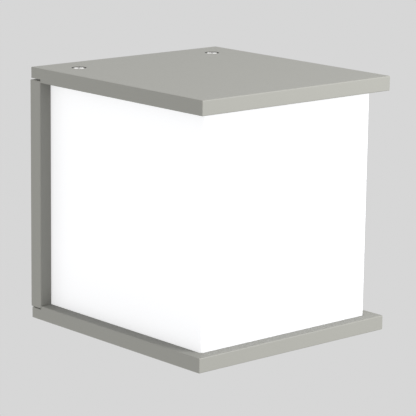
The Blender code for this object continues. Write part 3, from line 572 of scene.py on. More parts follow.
class Surface:
    """A material with one Principled shader and the nodes that vary it over the piece."""

    def __init__(self, name, **constants):
        self.material = bpy.data.materials.new(name)
        self.material.use_nodes = True
        self.tree = self.material.node_tree
        self.shader = self.tree.nodes["Principled BSDF"]
        for socket, value in constants.items():
            self.shader.inputs[socket.replace("_", " ").title()].default_value = value
        self.place = self.node("ShaderNodeTexCoord", output="Object")

    def node(self, kind, options=None, inputs=None, output=0):
        """A new node: its settings first, then the values or links of its sockets."""
        made = self.tree.nodes.new(kind)
        for key, value in (options or {}).items():
            setattr(made, key, value)
        for key, value in (inputs or {}).items():
            self.put(made.inputs[key], value)
        return Value(self, made.outputs[output])

    def put(self, socket, value):
        if isinstance(value, Value):
            self.tree.links.new(value.socket, socket)
        else:
            socket.default_value = value

    def math(self, operation, first, second=0.0):
        return self.node("ShaderNodeMath", {"operation": operation}, {0: first, 1: second})

    def noise(self, size, detail=2.0, roughness=0.5, where=None):
        """Noise whose blobs are about this wide, from 0 to 1."""
        place = where or self.place
        inputs = {"Vector": place, "Scale": 1.0 / size, "Detail": detail, "Roughness": roughness}
        return self.node("ShaderNodeTexNoise", None, inputs)

    def stretched(self, centre=(0.0, 0.0, 0.0), scale=(1.0, 1.0, 1.0)):
        """The place measured from a centre, with each axis scaled."""
        inputs = {"Vector": self.place, "Scale": scale}
        offset = tuple(-middle * factor for middle, factor in zip(centre, scale))
        return self.node("ShaderNodeMapping", None, {**inputs, "Location": offset})

    def along(self, axis, where=None):
        """The place along X, Y or Z in metres."""
        return self.node("ShaderNodeSeparateXYZ", None, {"Vector": where or self.place}, output=axis)

    def mix(self, factor, first, second):
        """Between two colours."""
        options = {"data_type": "RGBA", "blend_type": "MIX"}
        return self.node("ShaderNodeMix", options, {0: factor, 6: first, 7: second}, output=2)

    def ramp(self, value, low, high, start=0.0, end=1.0):
        """Goes smoothly from start to end as the value goes from low to high."""
        options = {"interpolation_type": "SMOOTHSTEP"}
        inputs = {"Value": value, "From Min": low, "From Max": high, "To Min": start, "To Max": end}
        return self.node("ShaderNodeMapRange", options, inputs)

    def bump(self, height, distance, strength=1.0):
        """Raises the surface by this height, in metres for a height of 1."""
        inputs = {"Height": height, "Distance": distance, "Strength": strength}
        self.feed("Normal", self.node("ShaderNodeBump", None, inputs))

    def feed(self, socket, value):
        self.put(self.shader.inputs[socket], value)


def tone(colour, factor):
    """A colour made lighter or darker, with its alpha."""
    return (*(channel * factor for channel in colour[:3]), 1.0)


# ---------------------------------------------------------------- finishes


def powder_coat():
    """Satin light grey powder coat: orange peel, a finer grain and faint clouds.

    The mouth of each screw's countersink on the two plates is painted dark: painted shade in the gap round
    the screw head.
    """
    paint = settings("lantern_paint")
    coat = Surface("powder_coat")
    peel = coat.noise(paint.grain, detail=1.5)
    grain = coat.noise(paint.grain / 6, detail=2.0, roughness=0.6)
    clouds = coat.noise(0.045, detail=3.0)
    base = coat.mix(clouds, tone(paint.colour, 0.985), tone(paint.colour, 1.015))
    base = coat.mix(coat.ramp(grain, 0.35, 0.75) * 0.12, base, tone(paint.colour, 1.12))
    # Painted shade: within the countersink's mouth round each screw on the cover and bottom plate, the coat's
    # colour is darkened to near black.
    across = coat.math("ABSOLUTE", coat.along(X)) - SCREW_X
    radius = (across**2 + (coat.along(Y) - SCREW_Y) ** 2) ** 0.5
    plates = coat.ramp(coat.math("ABSOLUTE", coat.along(Z)), COVER[0].z, COVER[0].z + HAIR)
    opening = coat.ramp(radius, SINK_MOUTH - HAIR, SINK_MOUTH, 1.0, 0.0) * plates
    coat.feed("Base Color", coat.mix(opening, base, tone(paint.colour, 0.12)))
    coat.feed("Roughness", paint.roughness + (peel - 0.5) * 0.10 + (clouds - 0.5) * 0.05)
    coat.bump(peel * 0.7 + grain * 0.3, 0.00003, 0.8)
    return coat.material


def opal():
    """Lit opal plastic, a touch dimmer along its foot."""
    glow = settings("lantern_glow")
    foot = HOOD[0].z
    shell = Surface("opal_plastic", emission_strength=glow.strength)
    clouds = shell.noise(0.060)
    level = shell.ramp(shell.along(Z), foot, foot + 0.05, 0.95, 1.0) * (0.99 + clouds * 0.02)
    shell.feed("Base Color", shell.mix(clouds, tone(glow.colour, 0.99), tone(glow.colour, 1.01)))
    shell.feed("Emission Color", shell.mix(level, tone(glow.colour, 0.0), (1.0, 1.0, 0.995, 1.0)))
    shell.feed("Roughness", 0.30 + shell.noise(0.004) * 0.06)
    shell.bump(shell.noise(0.006, detail=1.0), 0.00002, 0.5)
    return shell.material


def turned_steel(name, centre, axis):
    """Stainless steel: fine lathe rings round the axis, scratches across them, and painted shade in the cross
    recess.

    The centre is the middle of the head's face.
    """
    colour = settings("lantern_fixings").steel
    metal = Surface(name, metallic=1.0)
    place = metal.stretched(centre)
    radius = (metal.along(X, place) ** 2 + metal.along(Y, place) ** 2) ** 0.5
    rings = metal.math("SINE", radius * LATHE_WAVES)
    scratches = metal.noise(0.0004, detail=4.0, roughness=0.7)
    depth = metal.along(Z, place) * -axis.z
    floor = RECESS_DEPTH + 0.0001
    reach = RECESS_SPAN / 2
    # Painted shade: inside the cross recess, from just below the head's face down to its floor, the steel is
    # painted near black.
    recess = metal.ramp(depth, 0.00002, 0.00008) * metal.ramp(depth, floor, floor + HAIR, 1.0, 0.0)
    recess = recess * metal.ramp(radius, reach, 1.08 * reach, 1.0, 0.0)
    bare = metal.mix(scratches, tone(colour, 0.90), tone(colour, 1.05))
    metal.feed("Base Color", metal.mix(recess, bare, tone(colour, 0.12)))
    metal.feed("Roughness", 0.13 + scratches * 0.10 + recess * 0.3)
    metal.bump(rings * 0.5 + scratches, 0.000004)
    return metal.material


def metal_finish(name, colour, roughness, cloud, cloud_size=0.004, tarnish=None):
    """Plated or plain metal: clouds of tone, fine scratches, and tarnish where the clouds are dark."""
    metal = Surface(name, metallic=1.0)
    clouds = metal.noise(cloud_size, detail=4.0, roughness=0.6)
    scratches = metal.noise(0.0003, detail=3.0, roughness=0.7)
    base = metal.mix(clouds, tone(tarnish or colour, 1.0 - cloud), tone(colour, 1.0 + cloud / 2))
    metal.feed("Base Color", base)
    metal.feed("Roughness", roughness + (clouds - 0.5) * 0.16 + (scratches - 0.5) * 0.10)
    metal.bump(scratches * 0.6 + clouds * 0.4, 0.000012)
    return metal.material


def zinc():
    """Bright zinc plate, faintly blue with yellow blooms."""
    return metal_finish("zinc_plate", (0.62, 0.63, 0.64), 0.34, 0.16, tarnish=(0.60, 0.56, 0.46))


def brass():
    return metal_finish("brass", (0.78, 0.60, 0.30), 0.28, 0.14, tarnish=(0.55, 0.38, 0.17))


def tinned_copper():
    return metal_finish("tinned_copper", (0.70, 0.69, 0.66), 0.36, 0.12, cloud_size=0.002)


def nickel():
    return metal_finish("nickel_plate", (0.72, 0.70, 0.66), 0.22, 0.08)


def moulded(name, colour, roughness, grain=0.0008, depth=0.000012, spread=0.05, **constants):
    """Moulded plastic: a fine texture from the tool and flow marks in its tone and gloss."""
    plastic = Surface(name, **constants)
    texture = plastic.noise(grain, detail=3.0)
    flow = plastic.noise(0.018, detail=3.0, where=plastic.stretched(scale=(1.0, 1.0, 0.35)))
    plastic.feed("Base Color", plastic.mix(flow, tone(colour, 1.0 - spread), tone(colour, 1.0 + spread)))
    plastic.feed("Roughness", roughness + (texture - 0.5) * 0.10 + (flow - 0.5) * 0.06)
    plastic.bump(texture, depth)
    return plastic.material


def seal_rubber():
    """Matt black rubber with a bloom of pale dust."""
    rubber = Surface("seal_rubber")
    grain = rubber.noise(0.0005, detail=4.0, roughness=0.65)
    dust = rubber.ramp(rubber.noise(0.008, detail=4.0), 0.45, 0.80)
    rubber.feed("Base Color", rubber.mix(dust * 0.5, (0.018, 0.018, 0.019, 1.0), (0.055, 0.054, 0.052, 1.0)))
    rubber.feed("Roughness", 0.68 + grain * 0.18)
    rubber.bump(grain, 0.00003)
    return rubber.material


def seal_silicone():
    """Pale silicone sponge with a skin of fine cells."""
    sponge = Surface("seal_silicone")
    cells = sponge.node("ShaderNodeTexVoronoi", None, {"Vector": sponge.place, "Scale": 2200.0})
    clouds = sponge.noise(0.004, detail=3.0)
    sponge.feed("Base Color", sponge.mix(clouds, (0.50, 0.50, 0.48, 1.0), (0.64, 0.64, 0.61, 1.0)))
    sponge.feed("Roughness", 0.62 + cells * 0.3)
    sponge.bump(cells, 0.00006)
    return sponge.material


def holder_plastic():
    return moulded("holder_plastic", (0.80, 0.79, 0.74), 0.26)


def lamp_plastic():
    return moulded("lamp_plastic", (0.86, 0.86, 0.85), 0.42)


def insulator_black():
    return moulded("insulator_black", (0.022, 0.022, 0.024), 0.22, grain=0.0004)


def block_plastic():
    return moulded("block_plastic", (0.76, 0.75, 0.69), 0.44)


def globe_plastic():
    """Milky globe, lit from within."""
    return moulded(
        "globe_plastic", (0.88, 0.88, 0.87), 0.30, depth=0.000004, spread=0.01,
        emission_color=(1.0, 0.97, 0.92, 1.0), emission_strength=0.35,
    )


def board_white():
    return moulded("board_white", (0.80, 0.80, 0.78), 0.34, grain=0.0012, spread=0.03)


def insulation(name, colour):
    return moulded(name, colour, 0.36, grain=0.0006, spread=0.08)


def earth_insulation():
    """Green insulation with a yellow stripe, laid on by the wire's stripe attribute."""
    sleeve = Surface("wire_green")
    stripe = sleeve.node("ShaderNodeAttribute", {"attribute_name": "stripe"}, output="Fac")
    texture = sleeve.noise(0.0006, detail=3.0)
    green = sleeve.mix(texture, (0.035, 0.21, 0.045, 1.0), (0.05, 0.27, 0.06, 1.0))
    yellow = sleeve.mix(texture, (0.70, 0.55, 0.03, 1.0), (0.80, 0.64, 0.05, 1.0))
    sleeve.feed("Base Color", sleeve.mix(sleeve.ramp(stripe, 0.45, 0.55), green, yellow))
    sleeve.feed("Roughness", 0.32 + texture * 0.10)
    sleeve.bump(texture, 0.00001)
    return sleeve.material


LOOKS = {}


def look(make):
    """The material that this function makes, made once."""
    if make.__name__ not in LOOKS:
        LOOKS[make.__name__] = make()
    return LOOKS[make.__name__]


def shine_only_on(source, *receivers):
    """Keeps a light, or a piece that glows, from lighting anything but these pieces."""
    lit = bpy.data.collections.new(f"lit_by_{source.name}")
    for piece in receivers:
        lit.objects.link(piece)
    source.light_linking.receiver_collection = lit


# ---------------------------------------------------------------- castings


def outer_rounding(piece):
    return round_edges(piece, settings("lantern_paint").rounding)


def plate(name, low, high, outward):
    """A cast plate. outward is 1 for the cover and -1 for the bottom: which way its outer face looks."""
    inside, outside = (low.z, high.z) if outward > 0 else (high.z, low.z)

    def tool(part, west, south, depth, east, north):
        """A box that is sunk into the inner face."""
        levels = sorted((inside + outward * depth, inside - outward * MARGIN))
        return block(f"{name}_{part}", (west, south, levels[0]), (east, north, levels[1]))

    body = outer_rounding(block(name, low, high))
    rebate = tool("rebate", low.x - MARGIN, BACK_FACE - HAIR, REBATE_DEPTH, high.x + MARGIN, MARGIN)
    half = HOOD[1].x + GROOVE_PLAY
    front = HOOD[0].y - GROOVE_PLAY
    wall = HOOD_WALL + 2 * GROOVE_PLAY
    groove = tool("groove", -half, front, GROOVE_DEPTH, half, BACK_FACE)
    round_edges(groove, HOOD_CORNER + GROOVE_PLAY, front_corner)
    room = tool("room", wall - half, front + wall, 2 * GROOVE_DEPTH, half - wall, MARGIN)
    round_edges(room, HAIR, front_corner)
    pocket = tool("pocket", -POCKET_X, POCKET_FRONT, POCKET_DEPTH, POCKET_X, POCKET_REAR)
    round_edges(pocket, POCKET_RADIUS, upright, segments=10)
    floor = inside + outward * POCKET_DEPTH
    on_floor = lambda edge: not upright(edge) and abs(spot_on(edge).z - floor) < MERGE
    round_edges(pocket, FLOOR_ROUNDING, on_floor, segments=4)
    carve(body, rebate, carve(groove, room), pocket)
    profile = [
        (0.0, MARGIN),
        (SINK_MOUTH, MARGIN),
        (SINK_MOUTH, 0.0),
        (SINK_RADIUS, SINK_RADIUS - SINK_MOUTH),
        (SINK_RADIUS, -SINK_DEPTH),
        (COUNTERBORE, COUNTERBORE - SINK_RADIUS - SINK_DEPTH),
        (COUNTERBORE, -COUNTERBORE_DEPTH),
        (SCREW_HOLE, -COUNTERBORE_DEPTH),
        (SCREW_HOLE, -SCREW_HOLE_DEPTH),
        (0.0, -SCREW_HOLE_DEPTH),
    ]
    for sign in SIDES.values():
        spot = (sign * SCREW_X, SCREW_Y, outside)
        carve(body, turned(f"{name}_opening", profile, spot, UP * outward))
    return body


def ease(piece, width=0.00025):
    """Takes the sharpness off the edges that the tools left."""
    soften = piece.modifiers.new("soften", "BEVEL")
    soften.width = width
    soften.segments = 2
    soften.limit_method = "ANGLE"
    soften.angle_limit = math.radians(50.0)
    apply_modifiers(piece)
    return piece


class LANTERN_OT_cover(bpy.types.Operator):
    """Models the cover: the upper casting with its pocket, seal groove and countersinks"""

    bl_idname = "lantern.cover"
    bl_label = "Cover"

    def execute(self, context):
        body = ease(plate("cover_casting", *COVER, 1))
        finish(body, look(powder_coat), "cover", "painted_aluminium", "top_cover")
        return {"FINISHED"}


class LANTERN_OT_base(bpy.types.Operator):
    """Models the bottom plate: the lower casting with the two bosses for the lampholder's bracket"""

    bl_idname = "lantern.base"
    bl_label = "Bottom plate"

    def execute(self, context):
        body = plate("bottom_casting", *BASE, -1)
        floor = BASE[1].z - POCKET_DEPTH
        top = BRACKET[0].z - HAIR
        for sign in SIDES.values():
            foot = (sign * BOSS_X, LAMP_Y, floor - MARGIN)
            weld(body, rod("boss", BOSS_RADIUS, foot, UP, top - floor + MARGIN))
            tip = (sign * BOSS_X, LAMP_Y, top - M4[3])
            carve(body, rod("boss_hole", M4[2] + HAIR, tip, UP, M4[3] + MARGIN))
        finish(ease(body), look(powder_coat), "root", "painted_aluminium", "bottom_plate")
        return {"FINISHED"}


def lug(x, low):
    """A screw lug with its two front corners rounded."""
    half = LUG_WIDTH / 2
    piece = block("lug", (x - half, LUG_TIP, low), (x + half, BACK_FACE + MARGIN, low + LUG_HEIGHT))
    at_tip = lambda edge: upright(edge) and spot_on(edge).y < SCREW_Y
    return round_edges(piece, half - HAIR, at_tip, segments=10)


def seal_ring(name, play, depth, rear):
    """A rectangular ring round the wall side of the back plate, wider by the play on each side."""
    outer = SEAL_INSET - play
    inner = SEAL_INSET + SEAL_WIDTH + play
    low, high = BACK
    ring = block(name, (low.x + outer, -depth, low.z + outer), (high.x - outer, rear, high.z - outer))
    hole = block(
        f"{name}_hole",
        (low.x + inner, -depth - MARGIN, low.z + inner),
        (high.x - inner, rear + MARGIN, high.z - inner),
    )
    return carve(ring, hole)


class LANTERN_OT_back(bpy.types.Operator):
    """Models the back plate: lugs, diffuser grooves, and the pockets, slots and seal groove behind"""

    bl_idname = "lantern.back"
    bl_label = "Back plate"

    def execute(self, context):
        low, high = BACK
        body = outer_rounding(block("back_casting", (low.x, BACK_FACE, low.z), high))
        top = COVER[0].z - HAIR
        bottom = BASE[1].z + HAIR
        for sign in SIDES.values():
            x = sign * SCREW_X
            weld(body, lug(x, top - LUG_HEIGHT), lug(x, bottom))
            carve(
                body,
                rod("hole", SCREW_HOLE, (x, SCREW_Y, top + MARGIN), DOWN, LUG_HOLE + MARGIN),
                rod("hole", SCREW_HOLE, (x, SCREW_Y, bottom - MARGIN), UP, LUG_HOLE + MARGIN),
            )
            middle = sign * (HOOD[1].x - HOOD_WALL / 2)
            half = HOOD_WALL / 2 + GROOVE_PLAY
            carve(body, block(
                "groove",
                (middle - half, BACK_FACE - MARGIN, low.z - MARGIN),
                (middle + half, BACK_FACE + BACK_GROOVE, high.z + MARGIN),
            ))
        self.cut_wall_side(body)
        finish(ease(body), look(powder_coat), "root", "painted_aluminium", "back_plate")
        return {"FINISHED"}

    def cut_wall_side(self, body):
        low, high = BACK
        rim = high.x - REAR_RIM
        on_floor = lambda edge: abs(spot_on(edge).y + REAR_POCKET_DEPTH) < MERGE
        for bottom, top in ((REAR_BAND / 2, high.z - REAR_RIM), (low.z + REAR_RIM, -REAR_BAND / 2)):
            pocket = block("pocket", (-rim, -REAR_POCKET_DEPTH, bottom), (rim, MARGIN, top))
            round_edges(pocket, POCKET_RADIUS, into_wall, segments=10)
            carve(body, round_edges(pocket, FLOOR_ROUNDING, on_floor, segments=4))
        carve(body, seal_ring("seal_groove", HAIR, SEAL_DEPTH + HAIR, MARGIN))
        for sign in SIDES.values():
            x = sign * WALL_SLOT_X
            slot = block(
                "slot",
                (x - WALL_SLOT_LENGTH / 2, BACK_FACE - MARGIN, -WALL_SLOT_WIDTH / 2),
                (x + WALL_SLOT_LENGTH / 2, MARGIN, WALL_SLOT_WIDTH / 2),
            )
            carve(body, round_edges(slot, WALL_SLOT_WIDTH / 2 - HAIR, into_wall, segments=12))
        earth = middle_of("earth_screw")
        carve(
            body,
            rod("cable_hole", CABLE_HOLE, (0.0, MARGIN, CABLE_HEIGHT), FORWARD, 0.015),
            rod("earth_hole", M4[2] + HAIR, (earth.x, BACK_FACE + M4[3], earth.z), FORWARD, M4[3] + MARGIN),
        )
        for side in SIDES:
            spot = middle_of(f"terminal_block_screw_{side}")
            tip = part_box(f"terminal_block_screw_{side}")[1].y + HAIR
            carve(body, rod("block_hole", M3[2] + HAIR, (spot.x, tip, spot.z), FORWARD, 0.011))


class LANTERN_OT_diffuser(bpy.types.Operator):
    """Models the opal diffuser: three walls in one piece, open above, below and behind"""

    bl_idname = "lantern.diffuser"
    bl_label = "Diffuser"

    def execute(self, context):
        low, high = HOOD
        body = round_edges(block("opal_hood", low, high), HOOD_CORNER, front_corner, segments=8)
        room = block(
            "room",
            (low.x + HOOD_WALL, low.y + HOOD_WALL, low.z - MARGIN),
            (high.x - HOOD_WALL, high.y + MARGIN, high.z + MARGIN),
        )
        carve(body, round_edges(room, HAIR, front_corner))
        finish(ease(body, SOFT_EDGE), look(opal), "diffuser", "opal_plastic", "diffuser")
        shine_only_on(body, body)
        return {"FINISHED"}


class LANTERN_OT_seals(bpy.types.Operator):
    """Models the seals: strips in the plates' grooves, the wall seal, the cable bush and the screws' rings"""

    bl_idname = "lantern.seals"
    bl_label = "Seals"

    def execute(self, context):
        for node, body in (("cover_gasket", "cover"), ("bottom_gasket", "root")):
            self.strip(node, body)
        self.wall_seal()
        self.bush()
        for side in SIDES:
            self.ring(side)
        return {"FINISHED"}

    def strip(self, node, body):
        low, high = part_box(node)
        wall = HOOD_WALL + 2 * (GROOVE_PLAY - HAIR)
        piece = round_edges(block(f"{node}_strip", low, high), HOOD_CORNER, front_corner)
        room = block(
            "room",
            (low.x + wall, low.y + wall, low.z - MARGIN),
            (high.x - wall, MARGIN, high.z + MARGIN),
        )
        carve(piece, round_edges(room, HAIR, front_corner))
        finish(ease(piece, SOFT_EDGE), look(seal_silicone), body, "seal_silicone", node)

    def wall_seal(self):
        """A ring with a valley along its middle, which leaves two lips towards the wall."""
        ring = seal_ring("wall_seal", 0.0, SEAL_DEPTH, 0.0)
        low, high = BACK
        inset = SEAL_INSET + SEAL_WIDTH / 2
        half = SEAL_WIDTH * 0.13
        outer = block(
            "valley",
            (low.x + inset - half, -SEAL_VALLEY, low.z + inset - half),
            (high.x - inset + half, MARGIN, high.z - inset + half),
        )
        inner = block(
            "island",
            (low.x + inset + half, -MARGIN, low.z + inset + half),
            (high.x - inset - half, 2 * MARGIN, high.z - inset - half),
        )
        carve(ring, carve(outer, inner))
        finish(ease(ring, SOFT_EDGE), look(seal_rubber), "root", "seal_rubber", "wall_gasket")

    def bush(self):
        """The cable's bush: a flange on each side of the plate and a bore with a soft lip."""
        low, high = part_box("cable_grommet")
        half = (high.y - low.y) / 2
        flange = (high.x - low.x) / 2
        neck = CABLE_HOLE - HAIR
        web = half - 0.002
        bore, flare = 0.0035, 0.0005
        edge, lip = 0.0008, 0.0006
        profile = [
            *arc((flange - edge, half - edge), edge, 90, 0),
            (flange, web),
            (neck, web),
            (neck, -web),
            (flange, -web),
            *arc((flange - edge, edge - half), edge, 0, -90),
            *arc((bore + lip, lip - half), lip, -90, -180, 4),
            (bore + flare, -web * 0.4),
            (bore, 0.0),
            (bore + flare, web * 0.4),
            *arc((bore + lip, half - lip), lip, 180, 90, 4),
        ]
        spot = (0.0, (low.y + high.y) / 2, CABLE_HEIGHT)
        piece = turned("cable_bush", profile, spot, FORWARD, ring=True)
        finish(piece, look(seal_rubber), "root", "seal_rubber", "cable_grommet")

    def ring(self, side):
        """A round rubber ring under a cover screw's head."""
        node = f"cover_screw_seal_{side}"
        radius, height = size_of(node)
        section = arc((radius - height / 2, 0.0), height / 2, 0, 330, 11)
        piece = turned(f"screw_ring_{side}", section, middle_of(node), ring=True)
        finish(piece, look(seal_rubber), f"screw_{side}_seal", "seal_rubber", node, angle=60.0)


# ---------------------------------------------------------------- screws


def countersunk_screw(name, spot, axis, turn):
    """A countersunk screw with its head's face at the spot, looking along the axis."""
    face = SCREW_HEAD - SCREW_LAND
    neck = SCREW_LAND + SCREW_HEAD - SCREW_SHANK
    plain = neck + 0.0019
    profile = [
        (0.0, 0.0),
        (face, 0.0),
        *arc((face, -SCREW_LAND), SCREW_LAND, 90, 0, 3)[1:],
        (SCREW_SHANK, -neck),
        (SCREW_SHANK, -plain + 0.0004),
        (SCREW_SHANK - 0.0005, -plain),
        (0.0, -plain),
    ]
    head = turned(name, profile, (0.0, 0.0, 0.0), steps=64)
    carve(head, cross_recess("recess", 0.0, RECESS_SPAN, RECESS_WIDTH, RECESS_DEPTH, turn))
    length = SCREW_LENGTH - neck - 0.001
    thread = threaded(f"{name}_thread", SCREW_SHANK, SCREW_THREAD, SCREW_PITCH, length)
    end = (0.0, 0.0, -SCREW_LENGTH)
    stand(thread, end, UP)
    point = SCREW_SHANK - 0.0007
    around = [
        (SCREW_SHANK + MARGIN, 0.0),
        (SCREW_SHANK + MARGIN, -MARGIN),
        (point, -MARGIN),
        (point, -0.0001),
        (SCREW_SHANK + 0.0001, 0.0007),
    ]
    carve(thread, turned("tip", around, end, ring=True))
    weld(head, thread)
    return stand(head, spot, axis)


class LANTERN_OT_countersunk_screws(bpy.types.Operator):
    """Models the four countersunk screws that hold the cover and the bottom plate"""

    bl_idname = "lantern.countersunk_screws"
    bl_label = "Countersunk screws"

    def execute(self, context):
        angle = settings("lantern_fixings").recess_angle
        for side, sign in SIDES.items():
            x = sign * SCREW_X
            spot = (x, SCREW_Y, COVER[1].z - SCREW_SINK)
            piece = countersunk_screw(f"lid_screw_{side}", spot, UP, angle)
            steel = turned_steel(f"steel_lid_{side}", spot, UP)
            finish(piece, steel, f"screw_{side}", "stainless_steel", f"cover_screw_{side}")
            spot = (x, SCREW_Y, BASE[0].z + SCREW_SINK)
            piece = countersunk_screw(f"foot_screw_{side}", spot, DOWN, angle / 3 * sign)
            steel = turned_steel(f"steel_foot_{side}", spot, DOWN)
            finish(piece, steel, "root", "stainless_steel", f"bottom_screw_{side}")
        return {"FINISHED"}


def pan_screw(name, size, spot, axis, turn=0.0):
    """A pan-head screw whose head rests with its underside at the spot."""
    head_radius, head_height, shank, length, pitch = size
    crown = head_height * 0.55
    profile = [
        (0.0, head_height),
        (head_radius * 0.45, head_height * 0.985),
        *arc((head_radius - crown, head_height - crown), crown * 0.97, 75, 0, 6),
        (head_radius, head_height * 0.12),
        (head_radius * 0.95, 0.0),
        (shank, 0.0),
        (shank, -pitch),
        (0.0, -pitch),
    ]
    head = turned(name, profile, (0.0, 0.0, 0.0), steps=48)
    recess = (1.3 * head_radius, 0.3 * head_radius, 0.65 * head_height)
    carve(head, cross_recess("recess", head_height, *recess, turn))
    thread = threaded(f"{name}_thread", shank, shank * 0.18, pitch, length - pitch / 2, steps=16)
    stand(thread, (0.0, 0.0, -length), UP)
    weld(head, thread)
    return stand(head, spot, axis)


# ---------------------------------------------------------------- lampholder


class LANTERN_OT_bracket(bpy.types.Operator):
    """Models the bracket with its screws, and the threaded nipple and nut that hold the lampholder on it"""

    bl_idname = "lantern.bracket"
    bl_label = "Bracket"

    def execute(self, context):
        low, high = BRACKET
        body = block("holder_bracket", low, high)
        round_edges(body, 0.0045, upright, segments=8)
        middle = (0.0, LAMP_Y, low.z - MARGIN)
        depth = 2 * MARGIN + high.z - low.z
        carve(body, rod("hole", NIPPLE + HAIR, middle, UP, depth))
        for side, sign in SIDES.items():
            x = sign * BOSS_X
            carve(body, rod("hole", M4[2] + HAIR, (x, LAMP_Y, low.z - MARGIN), UP, depth))
            carve(body, rod("stamped", BOSS_RADIUS + HAIR, (x, LAMP_Y, high.z - 0.0001), UP, MARGIN))
            seat = (x, LAMP_Y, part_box(f"bracket_screw_{side}")[1].z - M4[1])
            screw = pan_screw(f"bracket_fixing_{side}", M4, seat, UP, 0.5 * sign)
            finish(screw, look(zinc), "root", "zinc_plated_steel", f"bracket_screw_{side}")
        finish(ease(body, 0.0003), look(zinc), "root", "zinc_plated_steel", "lampholder_bracket")
        self.nipple()
        self.nut()
        return {"FINISHED"}

    def nipple(self):
        low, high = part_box("lampholder_nipple")
        length = high.z - low.z
        piece = threaded("threaded_nipple", NIPPLE, 0.0005, 0.001, length, steps=32)
        carve(piece, rod("bore", NIPPLE_BORE, (0.0, 0.0, -MARGIN), UP, length + 2 * MARGIN))
        stand(piece, (0.0, LAMP_Y, low.z), UP)
        finish(piece, look(zinc), "root", "zinc_plated_steel", "lampholder_nipple")

    def nut(self):
        """A hexagon whose corners are turned off above and below."""
        low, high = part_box("lampholder_nut")
        radius = max(high.x - low.x, high.y - low.y) / 2
        height = high.z - low.z
        piece = rod("lock_nut", radius, (0.0, LAMP_Y, low.z), UP, height, sides=6)
        chamfer = radius * 0.10
        corner = [
            (radius - chamfer, -MARGIN / 2),
            (radius - chamfer, 0.0),
            (radius + chamfer, chamfer * 1.1),
            (radius + chamfer, -MARGIN / 2),
        ]
        for level, axis in ((low.z, UP), (high.z, DOWN)):
            carve(piece, turned("chamfer", corner, (0.0, LAMP_Y, level), axis, ring=True))
        carve(piece, rod("bore", NIPPLE + HAIR / 2, (0.0, LAMP_Y, low.z - MARGIN), UP, height + 2 * MARGIN))
        finish(piece, look(zinc), "root", "zinc_plated_steel", "lampholder_nut", angle=25.0)


def swell(share):
    """Goes from 0 to 1 and back, as round as a wave, while the share goes from 0 to 1."""
    return 0.5 - 0.5 * math.cos(2 * math.pi * share)


def thicken(piece, wall, side, even=False):
    """Gives a sheet its wall: inwards if side is -1, and both ways if it is 0."""
    grow = piece.modifiers.new("wall", "SOLIDIFY")
    grow.thickness = wall
    grow.offset = side
    grow.use_even_offset = even
    apply_modifiers(piece)


def rolled_sleeve(name, crest, wall, bottom, height):
    """A thin sleeve with a rolled lamp thread, open at both ends, its outer crests at this radius."""
    shares = [i / 8 for i in range(9)]
    profile = [(crest - LAMP_THREAD * swell(share), LAMP_PITCH * share) for share in shares]
    piece = helix(name, profile, LAMP_PITCH, height, 64, False)
    thicken(piece, wall, -1.0)
    return stand(piece, (0.0, LAMP_Y, bottom), UP)


class LANTERN_OT_lampholder(bpy.types.Operator):
    """Models the lampholder: its insulating body, threaded shell and sprung centre contact"""

    bl_idname = "lantern.lampholder"
    bl_label = "Lampholder"

    def execute(self, context):
        self.body()
        crest, height = size_of("lampholder_shell")
        sleeve = rolled_sleeve("thread_sleeve", crest, SHELL_WALL, SHELL[0].z, height)
        finish(sleeve, look(brass), "root", "brass", "lampholder_shell", angle=60.0)
        self.contact()
        return {"FINISHED"}

    def body(self):
        """A turned body with five ribs for grip, a well for the shell and a wire entry for each pole."""
        foot = HOLDER[0].z
        rim, height = size_of("lampholder_body")
        well = size_of("lampholder_shell")[0] + HAIR
        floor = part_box("lampholder_contact")[0].z - HAIR - foot
        flare = 0.0024
        lip = 0.001
        ribs_low, ribs_high, count = 0.022, height - 0.006, 5
        step = (ribs_high - ribs_low) / count
        valley = rim - 0.0005
        ribs = []
        for i in range(count, 0, -1):
            top = ribs_low + i * step
            ribs += [(rim, top), (rim, top - 0.55 * step)]
            ribs += [(valley, top - 0.62 * step), (valley, top - 0.93 * step)]
        profile = [
            *arc((rim - lip, height - lip), lip, 90, 0, 5),
            *ribs,
            (rim, ribs_low - 0.0005),
            (rim, 0.0165),
            (HOLDER_BASE, 0.0150),
            *arc((HOLDER_BASE - 0.0008, 0.0008), 0.0008, 0, -90, 4),
            (NIPPLE + HAIR, 0.0),
            (NIPPLE + HAIR, ENTRY_HEIGHT),
            (0.0, ENTRY_HEIGHT),
            (0.0, floor),
            (well, floor),
            (well, height - flare),
            (well + flare, height),
        ]
        piece = turned("holder_body", profile, (0.0, LAMP_Y, foot), steps=96, ring=True)
        for sign in LIVE_POLES.values():
            spot = (sign * ENTRY_X, LAMP_Y + HOLDER_BASE + MARGIN, foot + ENTRY_HEIGHT)
            carve(piece, rod("entry", WIRE_RADIUS + HAIR, spot, FORWARD, HOLDER_BASE / 2, sides=24))
        finish(piece, look(holder_plastic), "root", "holder_plastic", "lampholder_body")

    def contact(self):
        """A sprung tongue of brass strip on the well's floor."""
        low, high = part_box("lampholder_contact")
        foot = low.z + HAIR
        crown = high.z - HAIR
        path = [
            (-0.011, foot),
            (-0.0062, foot),
            (-0.0050, foot + 0.0004),
            (-0.0030, foot + 0.72 * (crown - foot)),
            (-0.0010, crown - 0.0002),
            (0.0008, crown),
            (0.0036, crown - 0.0001),
            (0.0050, crown - 0.0008),
            (0.0058, crown - 0.0018),
        ]
        width = high.y - low.y
        piece = outline("contact_tongue", [(x, LAMP_Y - width / 2, z) for x, z in path])
        with editing(piece, "EDGE"):
            select_all()
            bpy.ops.mesh.extrude_region_move(TRANSFORM_OT_translate={"value": (0.0, width, 0.0)})
            select_all()
            bpy.ops.mesh.normals_make_consistent(inside=False)
        thicken(piece, 0.0005, 0.0, even=True)
        ease(piece, 0.00012)
        finish(piece, look(brass), "root", "brass", "lampholder_contact")


# ---------------------------------------------------------------- lamp


